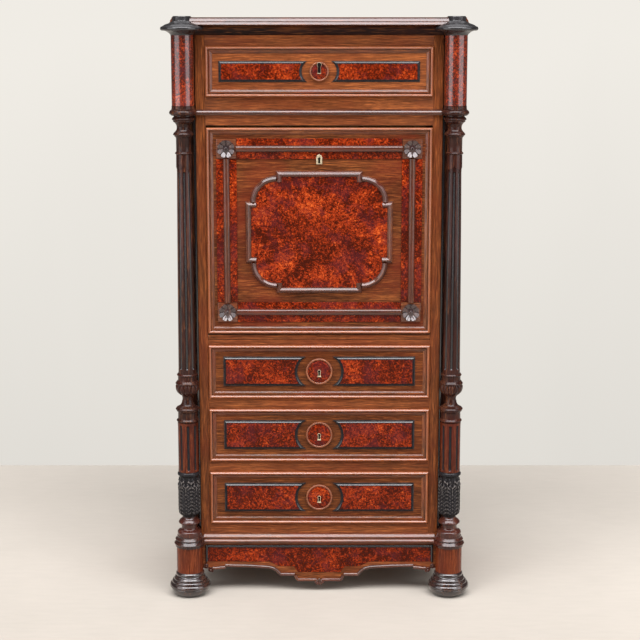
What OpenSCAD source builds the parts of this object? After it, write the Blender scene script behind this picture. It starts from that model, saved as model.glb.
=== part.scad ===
// Drop-front secretary with corner columns, a frieze drawer, a fall front and three long drawers.
// The front faces -Y, +Z is up, and the origin is at the floor under the middle of the object.

/* [Overall] */
// Height from the floor to the top discs of the cornice caps
total_h = 1500; // [1380:1:1800]
// Width of the flat front between the two corner recesses
body_w = 620; // [580:1:744]
// Depth from the flat front to the back
carcass_d = 372; // [310:1:446]

/* [Carcass] */
// Thickness of the side panels
side_t = 20; // [16:1:24]
// Thickness of the back panel
back_t = 10; // [8:1:14]
// Thickness of boards that lie flat
board_t = 14; // [12:1:16]
// Width of the front posts beside the openings
post_w = 24.5; // [20:0.5:30]
// Depth of the front posts and rails
rail_d = 24; // [22:1:28]
// Width of the recess behind each column
recess_w = 35; // [30:1:42]
// Depth of the recess behind each column
recess_d = 45; // [40:1:54]
// Thickness of the board that closes the recess
recess_t = 18; // [14:1:22]

/* [Columns] */
// Distance from the edge of the flat front out to the column axis
column_out = 30; // [29:0.5:36]
// Distance of the column axis in front of the flat front
column_fwd = 12; // [10:1:16]
// Radius of the cornice cap
cap_r = 54; // [50:1:60]
// Radius of the upper drum
drum_r = 28; // [24:0.5:28]
// Radius of the shaft at its top
shaft_top_r = 17.5; // [15:0.5:20]
// Radius of the shaft at its foot
shaft_foot_r = 22.5; // [20:0.5:25]
// Number of flutes on a shaft
flute_count = 8; // [6:1:12]
// Radius of the lower drum
lower_drum_r = 26.5; // [24:0.5:28]
// Radius of the pedestal
pedestal_r = 34.5; // [32:0.5:36]
// Height of the pedestal
pedestal_h = 69; // [60:1:80]
// Radius of the bun foot
foot_r = 54; // [48:1:58]
// Height of the bun foot
foot_h = 62; // [56:1:74]

/* [Base] */
// Height of the base moulding
base_h = 27; // [24:1:32]
// How far the base moulding stands out
base_out = 11; // [9:1:13]
// Thickness of the apron board
apron_t = 22; // [18:1:26]

/* [Openings] */
// Height of each of the three long drawers' openings
drawer_open_h = 139; // [115:1:150]
// Height of the rails between the long drawers
rail_h = 30; // [26:1:36]
// Height of the rail under the fall
fall_rail_h = 15.5; // [14:0.5:20]
// Height of the rail behind the waist moulding
waist_rail_h = 75.5; // [60:0.5:90]
// Height of the frieze drawer's opening
frieze_open_h = 126; // [110:1:140]
// Height of the rail above the frieze drawer
top_rail_h = 26.5; // [22:0.5:32]
// Height of the cornice
cornice_h = 41; // [36:1:49]
// How far the cornice stands out
cornice_out = 30; // [24:1:36]

/* [Fall] */
// Thickness of the fall board
fall_t = 20; // [18:1:24]
// Depth of the pivot axis behind the front of the fall
axis_in = 8; // [7:0.5:9]
// Radius of the pivot pins
pivot_r = 3; // [2.5:0.5:4]
// Radius of the brass quadrant stays
quadrant_r = 230; // [190:1:235]
// Width of the edge mouldings
edge_w = 20; // [16:1:24]
// Distance from the upright burl bands to the cartouche
cartouche_side_gap = 21.5; // [17:0.5:26]
// Distance from the level burl bands to the cartouche
cartouche_end_gap = 27; // [22:0.5:33]
// Width of the cartouche moulding
cartouche_band = 15; // [12:0.5:18]

/* [Drawers] */
// Gap between a moving front and its opening
front_gap = 1; // [0.8:0.1:1.5]
// Thickness of the drawer fronts
front_t = 20; // [18:1:24]
// Thickness of drawer sides and backs
box_t = 10; // [8:1:12]
// Thickness of drawer bottoms
floor_t = 6; // [5:0.5:8]
// How far the lock bolts rise
bolt_throw = 5; // [4:0.5:6]
// Height of the small drawers' openings
small_open_h = 80; // [60:1:96]
// Distance of the pigeonhole case behind the closed fall
case_setback = 138; // [120:1:150]
// Thickness of the boards of the pigeonhole case
case_t = 8; // [6:1:10]

/* [Hidden] */

// Smoothness of round pieces
$fn = 64;
// Gap between glued pieces that lie side by side
seam = 0.1;
// Extra length of a cut past the face it opens
over = 1;
// Running clearance of sliding pieces
slip = 1;
// Radial clearance of the pivot pins
pin_clear = 0.05;
// Running gap between a drawer's sides and the board that it slides on
run_gap = 0.3;

// Plan, front to back
front_reach = column_fwd + max(cap_r, foot_r);
total_d = front_reach + carcass_d;
face_y = front_reach - total_d / 2;
back_y = face_y + carcass_d;
rail_back_y = face_y + rail_d;
post_back_y = face_y + recess_d + recess_t;
panel_y = back_y - back_t;

// Plan, across
face_x = body_w / 2;
open_x = face_x - post_w;
side_out_x = face_x + recess_w;
side_in_x = side_out_x - side_t;
column_x = face_x + column_out;
column_y = face_y - column_fwd;

// Heights, from the floor up
pedestal_top = foot_h + pedestal_h;
pedestal_ring_h = 3;
base_z = pedestal_top + pedestal_ring_h;
body_z = base_z + base_h;
bottom_rail_h = 26.5;
open_3_z = body_z + bottom_rail_h;
drawer_pitch = drawer_open_h + rail_h;
open_2_z = open_3_z + drawer_pitch;
open_1_z = open_2_z + drawer_pitch;
fall_rail_z = open_1_z + drawer_open_h;
fall_open_z = fall_rail_z + fall_rail_h;

// Heights, from the top down
cap_rise = 6;
cornice_top = total_h - cap_rise;
cornice_z = cornice_top - cornice_h;
frieze_open_top = cornice_z - top_rail_h;
frieze_open_z = frieze_open_top - frieze_open_h;
fall_open_top = frieze_open_z - waist_rail_h;
waist_rise = 38;
waist_z = fall_open_top + waist_rise;
drum_rise = 16;
drum_z = waist_z + drum_rise;
drum_drop = 7;
drum_top = cornice_z - drum_drop;

// Fall
axis_out = fall_t - axis_in;
axis_y = face_y + axis_in;
axis_z = fall_open_z + front_gap + axis_in;
fall_x = open_x - front_gap;
fall_top = fall_open_top - front_gap;
fall_low = axis_z - axis_in;
fall_in_y = face_y + fall_t;
sweep_margin = 0.5;
moulding_low = axis_z + axis_in + sweep_margin;
floor_z = axis_z + axis_out;
sweep_r = norm([axis_out, axis_in]);
floor_front_y = axis_y + sweep_r + front_gap;
floor_t_desk = 18;

// Fall ornament: the burl bands lie inside the edge moulding, and the cartouche inside the bands
band_w = 52;
band_side_gap = 4;
band_top_gap = 7;
band_low_gap = 9;
band_out_x = fall_x - edge_w - band_side_gap;
band_in_x = band_out_x - band_w;
band_top_z = fall_top - edge_w - band_top_gap;
band_low_z = moulding_low + edge_w + band_low_gap;
block_size = 50;
block_t = 6;
rosette_r = 23;
cartouche_t = 9;
cartouche_drop = 3.5;
cartouche_w = band_in_x - cartouche_side_gap;
cartouche_h = (band_top_z - band_low_z) / 2 - band_w - cartouche_end_gap;
rod_r = 7.5;
edge_lip = 3;
edge_low_step = 5;
edge_high_step = 9;
block_x = band_out_x - band_w / 2;
block_top_z = band_top_z - band_w / 2;
block_low_z = band_low_z + band_w / 2;
fall_mid_z = (band_low_z + band_top_z) / 2 - cartouche_drop;
inlay_t = 2;

// Stays
quadrant_w = 10;
quadrant_t = 4;
quadrant_inset = 7.5;
quadrant_x = fall_x - quadrant_inset;
quadrant_angle = 94;
slot_clear = 3;
slot_in_x = quadrant_x - quadrant_t - slot_clear;
slot_back_y = axis_y + quadrant_r + quadrant_w;

// Case of pigeonholes
case_x = slot_in_x - case_t;
case_y = fall_in_y + case_setback;
case_top_z = fall_open_top;
small_shelf_z = floor_z + small_open_h;
hole_h = 190;
upper_shelf_z = small_shelf_z + case_t + hole_h;
hole_count = 5;
upper_count = 3;
small_count = 3;

// Drawers
side_play = 1.5;
drawer_box_x = open_x - front_gap - side_play;
drawer_back_gap = 12;
drawer_d = panel_y - face_y - front_t - drawer_back_gap;
box_top_drop = 15;
floor_rise = 3;
guide_h = 40;
tablet_t = 6;
tablet_side_gap = 18;
tablet_scoop_gap = 22;
frieze_tablet_gap = 16;
long_tablet_gap = 11;
frieze_roundel_gap = 17;
long_roundel_gap = 12.5;
roundel_t = 8;
roundel_rim = 5;
roundel_rim_t = 6;
frieze_front_h = frieze_open_h - 2 * front_gap;
long_front_h = drawer_open_h - 2 * front_gap;
long_front_z = [for (z = [open_1_z, open_2_z, open_3_z]) z + front_gap];
frieze_front_z = frieze_open_z + front_gap;

// Locks
lock_w = 60;
lock_h = 46;
lock_t = 10;
lock_drop = 8;
bolt_w = 24;
bolt_t = 6;
bolt_h = 30;
bolt_gap = 0.4;
keyhole_r = 5;
key_r = 1.6;
key_slit_half = 0.8;
key_slit_drop = 4.7;
key_hole_depth = 6;
fall_key_drop = 79;
fall_key_z = fall_top - fall_key_drop;

// A box given by its lowest and highest corners
module block(low, high) {
    translate(low) cube(high - low);
}

// Both halves of a symmetrical pair
module pair() {
    children();
    mirror([1, 0, 0]) children();
}

// A turned piece on both column axes, from an outline of [radius, height] points
module turned_pair(outline) {
    pair() translate([column_x, column_y, 0]) rotate_extrude() polygon(outline);
}

// The same, cut back where it would reach into the square carcass
module corner_pair(outline) {
    difference() {
        turned_pair(outline);
        carcass_corner(body_z, cornice_z);
    }
}

// Points of an arc, for outlines
function arc(cx, cy, r, from, to, steps = 8) =
    [for (i = [0:steps]) let (a = from + (to - from) * i / steps) [cx + r * cos(a), cy + r * sin(a)]];

// The right-hand edge of a half-round ring whose face stands out to r
function ring(r, low, high) = arc(r - (high - low) / 2, (low + high) / 2, (high - low) / 2, -90, 90);

// The space of the square front corner of the carcass, which round break-outs are cut back from
module carcass_corner(low, high) {
    pair() block([-over, face_y - seam, low], [face_x + seam, back_y, high]);
}

// A side panel with a sunk field on its outer face
module side_panel() {
    frame_w = 60;
    sink = 4;
    difference() {
        block([side_in_x, post_back_y + seam, body_z], [side_out_x, back_y, cornice_z + cornice_h / 2]);
        block(
            [side_out_x - sink, post_back_y + frame_w, body_z + frame_w],
            [side_out_x + over, back_y - frame_w, waist_z - frame_w]
        );
    }
}

module left_side() {
    color("saddlebrown") mirror([1, 0, 0]) side_panel();
}

module right_side() {
    color("saddlebrown") side_panel();
}

module back_panel() {
    color("peru") block(
        [-side_in_x + seam, panel_y, body_z],
        [side_in_x - seam, back_y, cornice_z + cornice_h / 2]
    );
}

// A board that fills the carcass behind the rails, with notches for the posts
module carcass_board(low, high, front_y) {
    translate([0, 0, low]) linear_extrude(high - low) union() {
        translate([-open_x, front_y]) square([2 * open_x, panel_y - seam - front_y]);
        translate([-side_in_x + seam, post_back_y + seam])
            square([2 * (side_in_x - seam), panel_y - post_back_y - 2 * seam]);
    }
}

module bottom_board() {
    color("peru") carcass_board(open_3_z - board_t - 4, open_3_z, rail_back_y + seam);
}

module top_board() {
    color("sienna") translate([0, 0, cornice_top - cornice_h / 2 + seam])
        linear_extrude(cornice_h / 2 - seam) union() {
            translate([-face_x, face_y]) square([2 * face_x, carcass_d]);
            translate([-side_out_x, face_y + recess_d])
                square([2 * side_out_x, carcass_d - recess_d]);
        }
}

// Cross-section of the cornice: [distance out, height] from its foot
cornice_profile = concat(
    [[0, 0], [3, 0]],
    arc(cornice_out - 6, 0, cornice_out - 9, 180, 100, 6),
    [[cornice_out - 2, cornice_h - 15]],
    ring(cornice_out, cornice_h - 14.5, cornice_h - 8),
    [[cornice_out - 4, cornice_h - 7.5]],
    ring(cornice_out - 2, cornice_h - 7, cornice_h),
    [[0, cornice_h]]
);

// A moulding run along the front, then along both sides
module straight_run(profile, low, front_half, side_x, side_from) {
    translate([-front_half, face_y - seam, low])
        rotate([90, 0, 90]) mirror([1, 0, 0]) linear_extrude(2 * front_half) polygon(profile);
    pair() translate([side_x + seam, side_from, low])
        rotate([90, 0, 0]) mirror([0, 0, 1]) linear_extrude(back_y - side_from) polygon(profile);
}

// The space that a round break-out on the column axis takes
module column_space(r, low, high) {
    pair() translate([column_x, column_y, low]) cylinder(r = r + seam, h = high - low);
}

module cornice() {
    color("saddlebrown") difference() {
        straight_run(cornice_profile, cornice_z, column_x, side_out_x, column_y + cap_r / 2);
        column_space(cap_r, cornice_z - over, cornice_top + over);
    }
}

module cornice_caps() {
    disc_r = 23;
    cap_low = drum_top + seam;
    cap_outline = concat(
        [[0, cap_low], [drum_r, cap_low]],
        arc(cap_r - 4, cap_low, cap_r - 4 - drum_r, 180, 105, 6),
        ring(cap_r, cornice_top - 27, cornice_top - 17),
        [[cap_r - 4, cornice_top - 16]],
        ring(cap_r - 5, cornice_top - 15, cornice_top - 6),
        [[disc_r + 4, cornice_top - 4], [disc_r + 2, cornice_top - 2]],
        [[disc_r, cornice_top - 2], [disc_r, total_h - 3], [disc_r - 3, total_h], [0, total_h]]
    );
    color("saddlebrown") difference() {
        turned_pair(cap_outline);
        carcass_corner(drum_top - over, total_h + over);
        // Room for the block behind the cap, which the side cornice runs into
        pair() block(
            [face_x - over, face_y + recess_d - seam, drum_top - over],
            [side_out_x + cornice_out, back_y, total_h + over]
        );
    }
}

// The post beside the openings, the board that closes the recess, and the block behind the drum
module front_post() {
    post_top = cornice_z + cornice_h / 2;
    block([open_x, face_y, body_z], [face_x, post_back_y, post_top]);
    block(
        [face_x + seam, face_y + recess_d, body_z],
        [side_out_x, post_back_y, post_top]
    );
    difference() {
        block(
            [face_x + seam, column_y + drum_r / 2, drum_z],
            [side_out_x, face_y + recess_d - seam, drum_top]
        );
        translate([column_x, column_y, drum_z - over])
            cylinder(r = drum_r + seam, h = drum_top - drum_z + 2 * over);
    }
}

module front_posts() {
    color("saddlebrown") pair() difference() {
        front_post();
        // Recess for the pivot plate
        plate_space(seam);
    }
}

// Heights of the rails: each entry is [lowest, highest]
rail_levels = [
    [body_z, open_3_z],
    [open_3_z + drawer_open_h, open_2_z],
    [open_2_z + drawer_open_h, open_1_z],
    [fall_rail_z, fall_open_z],
    [fall_open_top, frieze_open_z],
    [frieze_open_top, cornice_z + cornice_h / 2]
];

module front_rails() {
    color("saddlebrown") difference() {
        for (level = rail_levels)
            block([-open_x + seam, face_y, level[0]], [open_x - seam, rail_back_y, level[1]]);
        for (z = [open_3_z, open_2_z, open_1_z])
            bolt_mortise(z + drawer_open_h, face_y + front_t);
        bolt_mortise(frieze_open_top, face_y + front_t);
        bolt_mortise(fall_open_top, fall_in_y);
    }
}

// Mortise that a lock bolt rises into, above a front whose back is given
module bolt_mortise(z, back) {
    mid_y = back - lock_t / 2;
    block(
        [-bolt_w / 2 - slip, mid_y - bolt_t / 2 - slip, z - over],
        [bolt_w / 2 + slip, mid_y + bolt_t / 2 + slip, z + bolt_throw + 2]
    );
}

waist_h = 14;
waist_profile = concat(
    [[0, 0], [5, 0], [5, 2]],
    arc(5, waist_h / 2, waist_h / 2 - 2, -90, 90),
    [[5, waist_h], [0, waist_h]]
);

module waist_moulding() {
    color("peru") difference() {
        straight_run(waist_profile, waist_z - waist_h / 2, column_x, side_out_x, face_y + recess_d);
        column_space(waist_ring_r, waist_z - waist_h, waist_z + waist_h);
    }
}

module upper_drums() {
    color("firebrick") corner_pair([
        [0, drum_z + seam],
        [drum_r, drum_z + seam],
        [drum_r, drum_top],
        [0, drum_top]
    ]);
}

// Heights on the column, tied to the waist above and to the base below
waist_ring_r = 35;
capital_z = waist_z - 104;
shaft_low = body_z + 434.5;
cup_low = body_z + 305;
lower_drum_low = body_z + 173.5;
base_ring_r = 40.5;

// Capital, with the ring at the waist above it and the fluted shaft below
module column_shafts() {
    capital = concat(
        [[0, capital_z], [shaft_top_r + 3, capital_z]],
        ring(shaft_top_r + 5, capital_z, capital_z + 6),
        [[shaft_top_r + 1.5, capital_z + 6], [shaft_top_r + 1.5, capital_z + 43]],
        ring(shaft_top_r + 8.5, capital_z + 46, capital_z + 56),
        [[shaft_top_r, capital_z + 58], [shaft_top_r, capital_z + 74]],
        [[shaft_top_r + 8, capital_z + 84]],
        ring(shaft_top_r + 11.5, capital_z + 86, capital_z + 94),
        [[shaft_top_r + 9, capital_z + 96]],
        ring(waist_ring_r, waist_z - 7, waist_z + 7),
        [[drum_r + 2, waist_z + 8], [drum_r + 1, drum_z], [0, drum_z]]
    );
    color("saddlebrown") {
        difference() {
            turned_pair(capital);
            carcass_corner(waist_z - 10, drum_z + over);
            pair() block(
                [face_x - over, face_y + recess_d - seam, waist_z - 10],
                [side_out_x, back_y, drum_z + over]
            );
        }
        pair() translate([column_x, column_y, shaft_low])
            linear_extrude(capital_z - shaft_low, scale = shaft_top_r / shaft_foot_r)
                fluted_outline(shaft_foot_r, flute_count);
    }
}

// A round outline with concave flutes round it
module fluted_outline(r, count) {
    flute_r = r * 0.27;
    difference() {
        circle(r, $fn = 6 * count);
        for (i = [0:count - 1])
            rotate(i * 360 / count - 90) translate([r + flute_r * 0.35, 0]) circle(flute_r, $fn = 12);
    }
}

// Astragal, collar and gadrooned cup under the shaft, down to the disc and its band
module gadroon_cups() {
    top = shaft_low - seam;
    color("saddlebrown") corner_pair(concat(
        [[0, cup_low], [25.5, cup_low]],
        ring(28.5, cup_low + 2, cup_low + 9),
        [[25.5, cup_low + 10], [25.5, cup_low + 30]],
        ring(31, cup_low + 33, cup_low + 42),
        [[21, cup_low + 46], [14, cup_low + 56], [13, cup_low + 62], [15, cup_low + 68]],
        arc(15, cup_low + 91, 16, -70, 45, 6),
        [[26.5, cup_low + 106], [24, cup_low + 108], [24, top - 6]],
        [[26.5, top - 5], [26.5, top - 1], [24, top], [0, top]]
    ));
}

module lower_drums() {
    top = cup_low - seam;
    color("firebrick") corner_pair([
        [0, lower_drum_low],
        [lower_drum_r, lower_drum_low],
        [lower_drum_r, top],
        [0, top]
    ]);
}

// Leaf-carved vase, with the smooth band above it and the rings down to the base moulding
module leaf_vases() {
    top = lower_drum_low - seam;
    low = body_z + seam;
    color("#2b1d1a") corner_pair(concat(
        [[0, low], [31, low], [31, low + 3]],
        ring(30.5, low + 5, low + 15),
        [[22, low + 17], [21.5, low + 29]],
        ring(29.5, low + 32, low + 45),
        [[22, low + 47], [22, low + 53], [29, low + 57]],
        arc(2, low + 82, 30, -35, 25, 8),
        [[29.5, low + 126], [26.5, low + 138], [26.5, low + 162]],
        ring(30, low + 163, top - 1),
        [[27, top], [0, top]]
    ));
}

base_profile = concat(
    [[0, 0], [base_out - 3, 0]],
    ring(base_out, 3, base_h / 2),
    ring(base_out - 2, base_h / 2 + 1, base_h - 5),
    [[2, base_h - 3], [2, base_h], [0, base_h]]
);

// Stepped moulding round the foot of the carcass, on a frame that the carcass stands on
module base_moulding() {
    color("peru") {
        difference() {
            union() {
                straight_run(base_profile, base_z, column_x, side_out_x, face_y + recess_d);
                block([-face_x, face_y, base_z], [face_x, post_back_y, body_z - seam]);
                block(
                    [-side_out_x, face_y + recess_d, base_z],
                    [side_out_x, post_back_y, body_z - seam]
                );
                pair() block(
                    [side_in_x - 40, post_back_y + seam, base_z],
                    [side_out_x, back_y, body_z - seam]
                );
            }
            column_space(base_ring_r, base_z - over, body_z + over);
        }
        difference() {
            turned_pair(concat(
                [[0, pedestal_top + seam], [pedestal_r + 2, pedestal_top + seam]],
                ring(base_ring_r, base_z + 3, base_z + base_h / 2),
                ring(base_ring_r - 5, base_z + base_h / 2 + 1, base_z + base_h - 5),
                [[32, body_z - 2], [32, body_z], [0, body_z]]
            ));
            carcass_corner(base_z - 4, body_z + over);
        }
    }
}

module pedestals() {
    color("firebrick") turned_pair([
        [0, foot_h + seam],
        [pedestal_r, foot_h + seam],
        [pedestal_r, pedestal_top],
        [0, pedestal_top]
    ]);
}

module bun_feet() {
    color("#3a2420") turned_pair(concat(
        [[0, 0], [foot_r - 13, 0], [foot_r - 10, 3]],
        arc(foot_r - 20, 21, 20, -62, 25, 8),
        [[foot_r - 5, 33], [foot_r - 7, 37]],
        ring(foot_r - 6, 38, 45),
        [[pedestal_r + 2, 50], [pedestal_r + 1, 54]],
        [[pedestal_r + 3.5, 56], [pedestal_r + 3.5, foot_h - 1], [pedestal_r, foot_h], [0, foot_h]]
    ));
}

rear_foot_size = 58;

module rear_foot() {
    foot_top = base_z - seam;
    mid_x = side_out_x - rear_foot_size / 2;
    mid_y = back_y - rear_foot_size / 2;
    block(
        [side_out_x - rear_foot_size, back_y - rear_foot_size, foot_h],
        [side_out_x, back_y, foot_top]
    );
    translate([mid_x, mid_y, 0]) rotate_extrude() polygon([
        [0, 0],
        [rear_foot_size / 2 - 8, 0],
        [rear_foot_size / 2, foot_h / 2],
        [rear_foot_size / 2 - 3, foot_h],
        [0, foot_h]
    ]);
}

module rear_feet() {
    color("saddlebrown") pair() rear_foot();
}

// Half of the apron's lower edge, from the middle out, then back along its top edge
apron_top = base_z - seam;
apron_edge_z = foot_h + 5;
apron_half = [
    [0, apron_edge_z - 46],
    [8, apron_edge_z - 46],
    [10, apron_edge_z - 37],
    [56, apron_edge_z - 37],
    [62, apron_edge_z - 33],
    [66, apron_edge_z - 25],
    [104, apron_edge_z - 25],
    [112, apron_edge_z - 16],
    [122, apron_edge_z - 8],
    [134, apron_edge_z - 5],
    [246, apron_edge_z],
    [248, apron_edge_z - 6],
    [face_x - 32, apron_edge_z - 6]
];
scroll_r = 8;

// Both halves of an outline, from the points of its right-hand half in order
function both_sides(half) =
    concat(half, [for (i = [len(half) - 1:-1:0]) [-half[i][0], half[i][1]]]);

module apron_outline() {
    polygon(both_sides(concat(
        apron_half,
        [[face_x - 4, apron_edge_z - 4], [face_x, apron_edge_z + 6], [face_x, apron_top]]
    )));
    for (side = [-1, 1])
        translate([side * (face_x - 20), apron_edge_z - 6]) circle(scroll_r);
}

// Turns an outline drawn in X and Z into a board whose front is at front_y
module standing_board(front_y, thickness) {
    translate([0, front_y + thickness, 0]) rotate([90, 0, 0]) linear_extrude(thickness) children();
}

module apron() {
    color("saddlebrown") {
        difference() {
            standing_board(face_y, apron_t) apron_outline();
            column_space(pedestal_r, 0, base_z + over);
            column_space(foot_r, -over, foot_h + seam);
            standing_board(face_y - over, over + inlay_t / 2) inlay_outline(0);
        }
        pair() block(
            [side_out_x - apron_t, post_back_y, foot_h + seam],
            [side_out_x, back_y - rear_foot_size - seam, apron_top]
        );
    }
}

inlay_top = apron_top - 10;
inlay_x = face_x - 13;

// Outline of the apron's burl inlay, drawn in by a margin
module inlay_outline(margin) {
    polygon(both_sides([
        [inlay_x / 2, inlay_top - margin],
        [inlay_x - margin, inlay_top - margin],
        [inlay_x - margin, apron_edge_z + 14 + margin],
        [132, apron_edge_z + 14 + margin],
        [106, apron_edge_z + 2 + margin],
        [66, apron_edge_z - 1 + margin],
        [55 - margin / 2, apron_edge_z - 16 + margin]
    ]));
}

module apron_inlay() {
    color("firebrick") standing_board(face_y - inlay_t / 2, inlay_t - seam) inlay_outline(seam);
}

// Boards under the frieze drawer and under the two upper long drawers, and the desk's ceiling
module dust_boards() {
    color("peru") {
        for (z = [open_2_z, open_1_z, frieze_open_z])
            carcass_board(z - board_t, z, rail_back_y + seam);
        carcass_board(fall_open_top, fall_open_top + board_t, rail_back_y + seam);
    }
}

module drawer_guides() {
    color("peru") for (z = [open_3_z, open_2_z, open_1_z, frieze_open_z])
        pair() block(
            [drawer_box_x + slip, post_back_y + seam, z + seam],
            [side_in_x - seam, panel_y - seam, z + guide_h]
        );
}

// Desk floor, flush with the inner face of the open fall, cut back beside the stays
module desk_floor() {
    color("sienna") translate([0, 0, floor_z - floor_t_desk]) linear_extrude(floor_t_desk) union() {
        translate([-slot_in_x, floor_front_y])
            square([2 * slot_in_x, panel_y - seam - floor_front_y]);
        translate([-side_in_x + seam, slot_back_y])
            square([2 * (side_in_x - seam), panel_y - seam - slot_back_y]);
    }
}

// Evenly spaced dividers between the cheeks
module dividers(count, low, high) {
    for (i = [1:count - 1])
        translate([-case_x + 2 * case_x * i / count - case_t / 2, case_y, low + seam])
            cube([case_t, panel_y - seam - case_y, high - low - 2 * seam]);
}

module pigeonhole_case() {
    color("peru") {
        // Cheeks, which hide the stays
        pair() block(
            [case_x + seam, floor_front_y, floor_z + seam],
            [slot_in_x, panel_y - seam, case_top_z - seam]
        );
        for (z = [small_shelf_z, upper_shelf_z])
            block([-case_x, case_y, z], [case_x, panel_y - seam, z + case_t]);
        dividers(small_count, floor_z, small_shelf_z);
        dividers(hole_count, small_shelf_z + case_t, upper_shelf_z);
        dividers(upper_count, upper_shelf_z + case_t, case_top_z);
    }
}

// Brass plate let into a post, with the pin that the fall turns on
plate_w = 14;
plate_h = 30;
plate_t = 3;
pin_reach = 12;

module plate_space(clear) {
    block(
        [open_x - clear, axis_y - plate_w / 2 + over - clear, axis_z - plate_h / 4 - clear],
        [open_x + plate_t + clear, axis_y + plate_w / 2 + over + clear, axis_z + plate_h * 3 / 4 + clear]
    );
}

// Pin along the pivot axis, from inside the fall's end outwards
module pivot_pin(r, reach, out_x) {
    translate([fall_x - reach, axis_y, axis_z]) rotate([0, 90, 0])
        cylinder(r = r, h = out_x - fall_x + reach);
}

module pivot_plates() {
    color("goldenrod") pair() {
        plate_space(0);
        pivot_pin(pivot_r, pin_reach, open_x + plate_t / 2);
    }
}

// Fall board, rounded below the pivot axis so that it turns clear of the rail
module fall_board() {
    color("sienna") difference() {
        union() {
            block([-fall_x, face_y, axis_z], [fall_x, fall_in_y, fall_top]);
            block([-fall_x, axis_y, fall_low], [fall_x, fall_in_y, axis_z + over]);
            translate([-fall_x, axis_y, axis_z]) rotate([0, 90, 0])
                cylinder(r = axis_in, h = 2 * fall_x);
        }
        pair() pivot_pin(pivot_r + pin_clear, pin_reach + slip, fall_x + over);
        lock_space(fall_top, fall_in_y, slip / 2);
        key_way(face_y, fall_key_z);
    }
}

// Recess for a lock case in the back of a front, with its way up for the bolt
module lock_space(top, back, clear) {
    block(
        [-lock_w / 2 - clear, back - lock_t, top - lock_drop - lock_h - clear],
        [lock_w / 2 + clear, back + over, top - lock_drop + clear]
    );
    block(
        [-bolt_w / 2 - slip, back - lock_t / 2 - bolt_t / 2 - slip / 2, top - lock_drop - over],
        [bolt_w / 2 + slip, back - lock_t / 2 + bolt_t / 2 + slip / 2, top + over]
    );
}

// Round way for the key through a front
module key_way(front, z) {
    translate([0, front - 20, z]) rotate([-90, 0, 0]) cylinder(r = keyhole_r, h = 20 + front_t + over);
}

// Lock case with a chamber for its bolt, and the thimble round the key's way
module lock(top, back, key_z, key_front, key_depth) {
    case_low = top - lock_drop - lock_h;
    difference() {
        block([-lock_w / 2, back - lock_t + seam, case_low], [lock_w / 2, back - seam, top - lock_drop]);
        block(
            [-bolt_w / 2 - bolt_gap, back - lock_t / 2 - bolt_t / 2 - bolt_gap, top - bolt_h - over],
            [bolt_w / 2 + bolt_gap, back - lock_t / 2 + bolt_t / 2 + bolt_gap, top]
        );
    }
    difference() {
        translate([0, key_front, key_z]) rotate([-90, 0, 0])
            cylinder(r = keyhole_r - seam, h = key_depth);
        translate([0, key_front - over, key_z + key_r]) rotate([-90, 0, 0])
            cylinder(r = key_r, h = over + key_hole_depth, $fn = 24);
        block(
            [-key_slit_half, key_front - over, key_z + key_r - key_slit_drop],
            [key_slit_half, key_front + key_hole_depth, key_z + key_r]
        );
    }
}

// Lock bolt, drawn back so that its top is level with the front's top edge
module bolt(top, back) {
    block(
        [-bolt_w / 2, back - lock_t / 2 - bolt_t / 2, top - bolt_h],
        [bolt_w / 2, back - lock_t / 2 + bolt_t / 2, top - 0.5]
    );
}

// One mitred length of an edge moulding: a low wide step under a high narrow one. It is drawn
// along X with its outer edge on the X axis, and stands on a front at Y = 0.
module mitred_length(half) {
    for (step = [[0, edge_w, edge_low_step], [edge_lip, edge_w * 0.55, edge_high_step]])
        standing_board(-step[2], step[2] - seam) polygon([
            [-half + step[0] + seam, step[0]],
            [half - step[0] - seam, step[0]],
            [half - step[1] - seam, step[1]],
            [-half + step[1] + seam, step[1]]
        ]);
}

// Frame of four mitred lengths on a front, drawn from its outer edges
module edge_frame(half_w, low, high, front) {
    half_h = (high - low) / 2;
    translate([0, front, low + half_h]) for (turn = [0, 180]) {
        rotate([0, turn, 0]) translate([0, 0, -half_h]) mitred_length(half_w);
        rotate([0, turn + 90, 0]) translate([0, 0, -half_w]) mitred_length(half_h);
    }
}

module fall_edge_moulding() {
    color("peru") edge_frame(fall_x, moulding_low, fall_top, face_y);
}

module fall_burl_bands() {
    gap = band_w + seam / 2;
    color("firebrick") difference() {
        union() {
            for (low = [band_top_z - band_w, band_low_z])
                block(
                    [-band_out_x + gap, face_y - inlay_t, low],
                    [band_out_x - gap, face_y - seam, low + band_w]
                );
            pair() block(
                [band_in_x, face_y - inlay_t, band_low_z + gap],
                [band_out_x, face_y - seam, band_top_z - gap]
            );
        }
        key_way(face_y, fall_key_z);
    }
}

// Half-round rods along the middle of the bands
module fall_rods() {
    rod_y = face_y - inlay_t - seam;
    half_x = block_x - block_size / 2 - seam;
    half_z = (block_top_z - block_low_z) / 2 - block_size / 2 - seam;
    color("saddlebrown") intersection() {
        union() {
            for (z = [block_top_z, block_low_z])
                translate([-half_x, rod_y, z]) rotate([0, 90, 0]) cylinder(r = rod_r, h = 2 * half_x);
            pair() translate([block_x, rod_y, (block_top_z + block_low_z) / 2 - half_z])
                cylinder(r = rod_r, h = 2 * half_z);
        }
        block([-fall_x, rod_y - rod_r, moulding_low], [fall_x, rod_y, fall_top]);
    }
}

module fall_corner_blocks() {
    half = block_size / 2;
    color("saddlebrown") pair() for (z = [block_top_z, block_low_z]) {
        block(
            [block_x - half, face_y - block_t, z - half],
            [block_x + half, face_y - seam, z + half]
        );
        translate([block_x, face_y - block_t + over, z]) rotate([90, 0, 0])
            cylinder(r1 = rosette_r, r2 = rosette_r * 0.65, h = block_t);
    }
}

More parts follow.
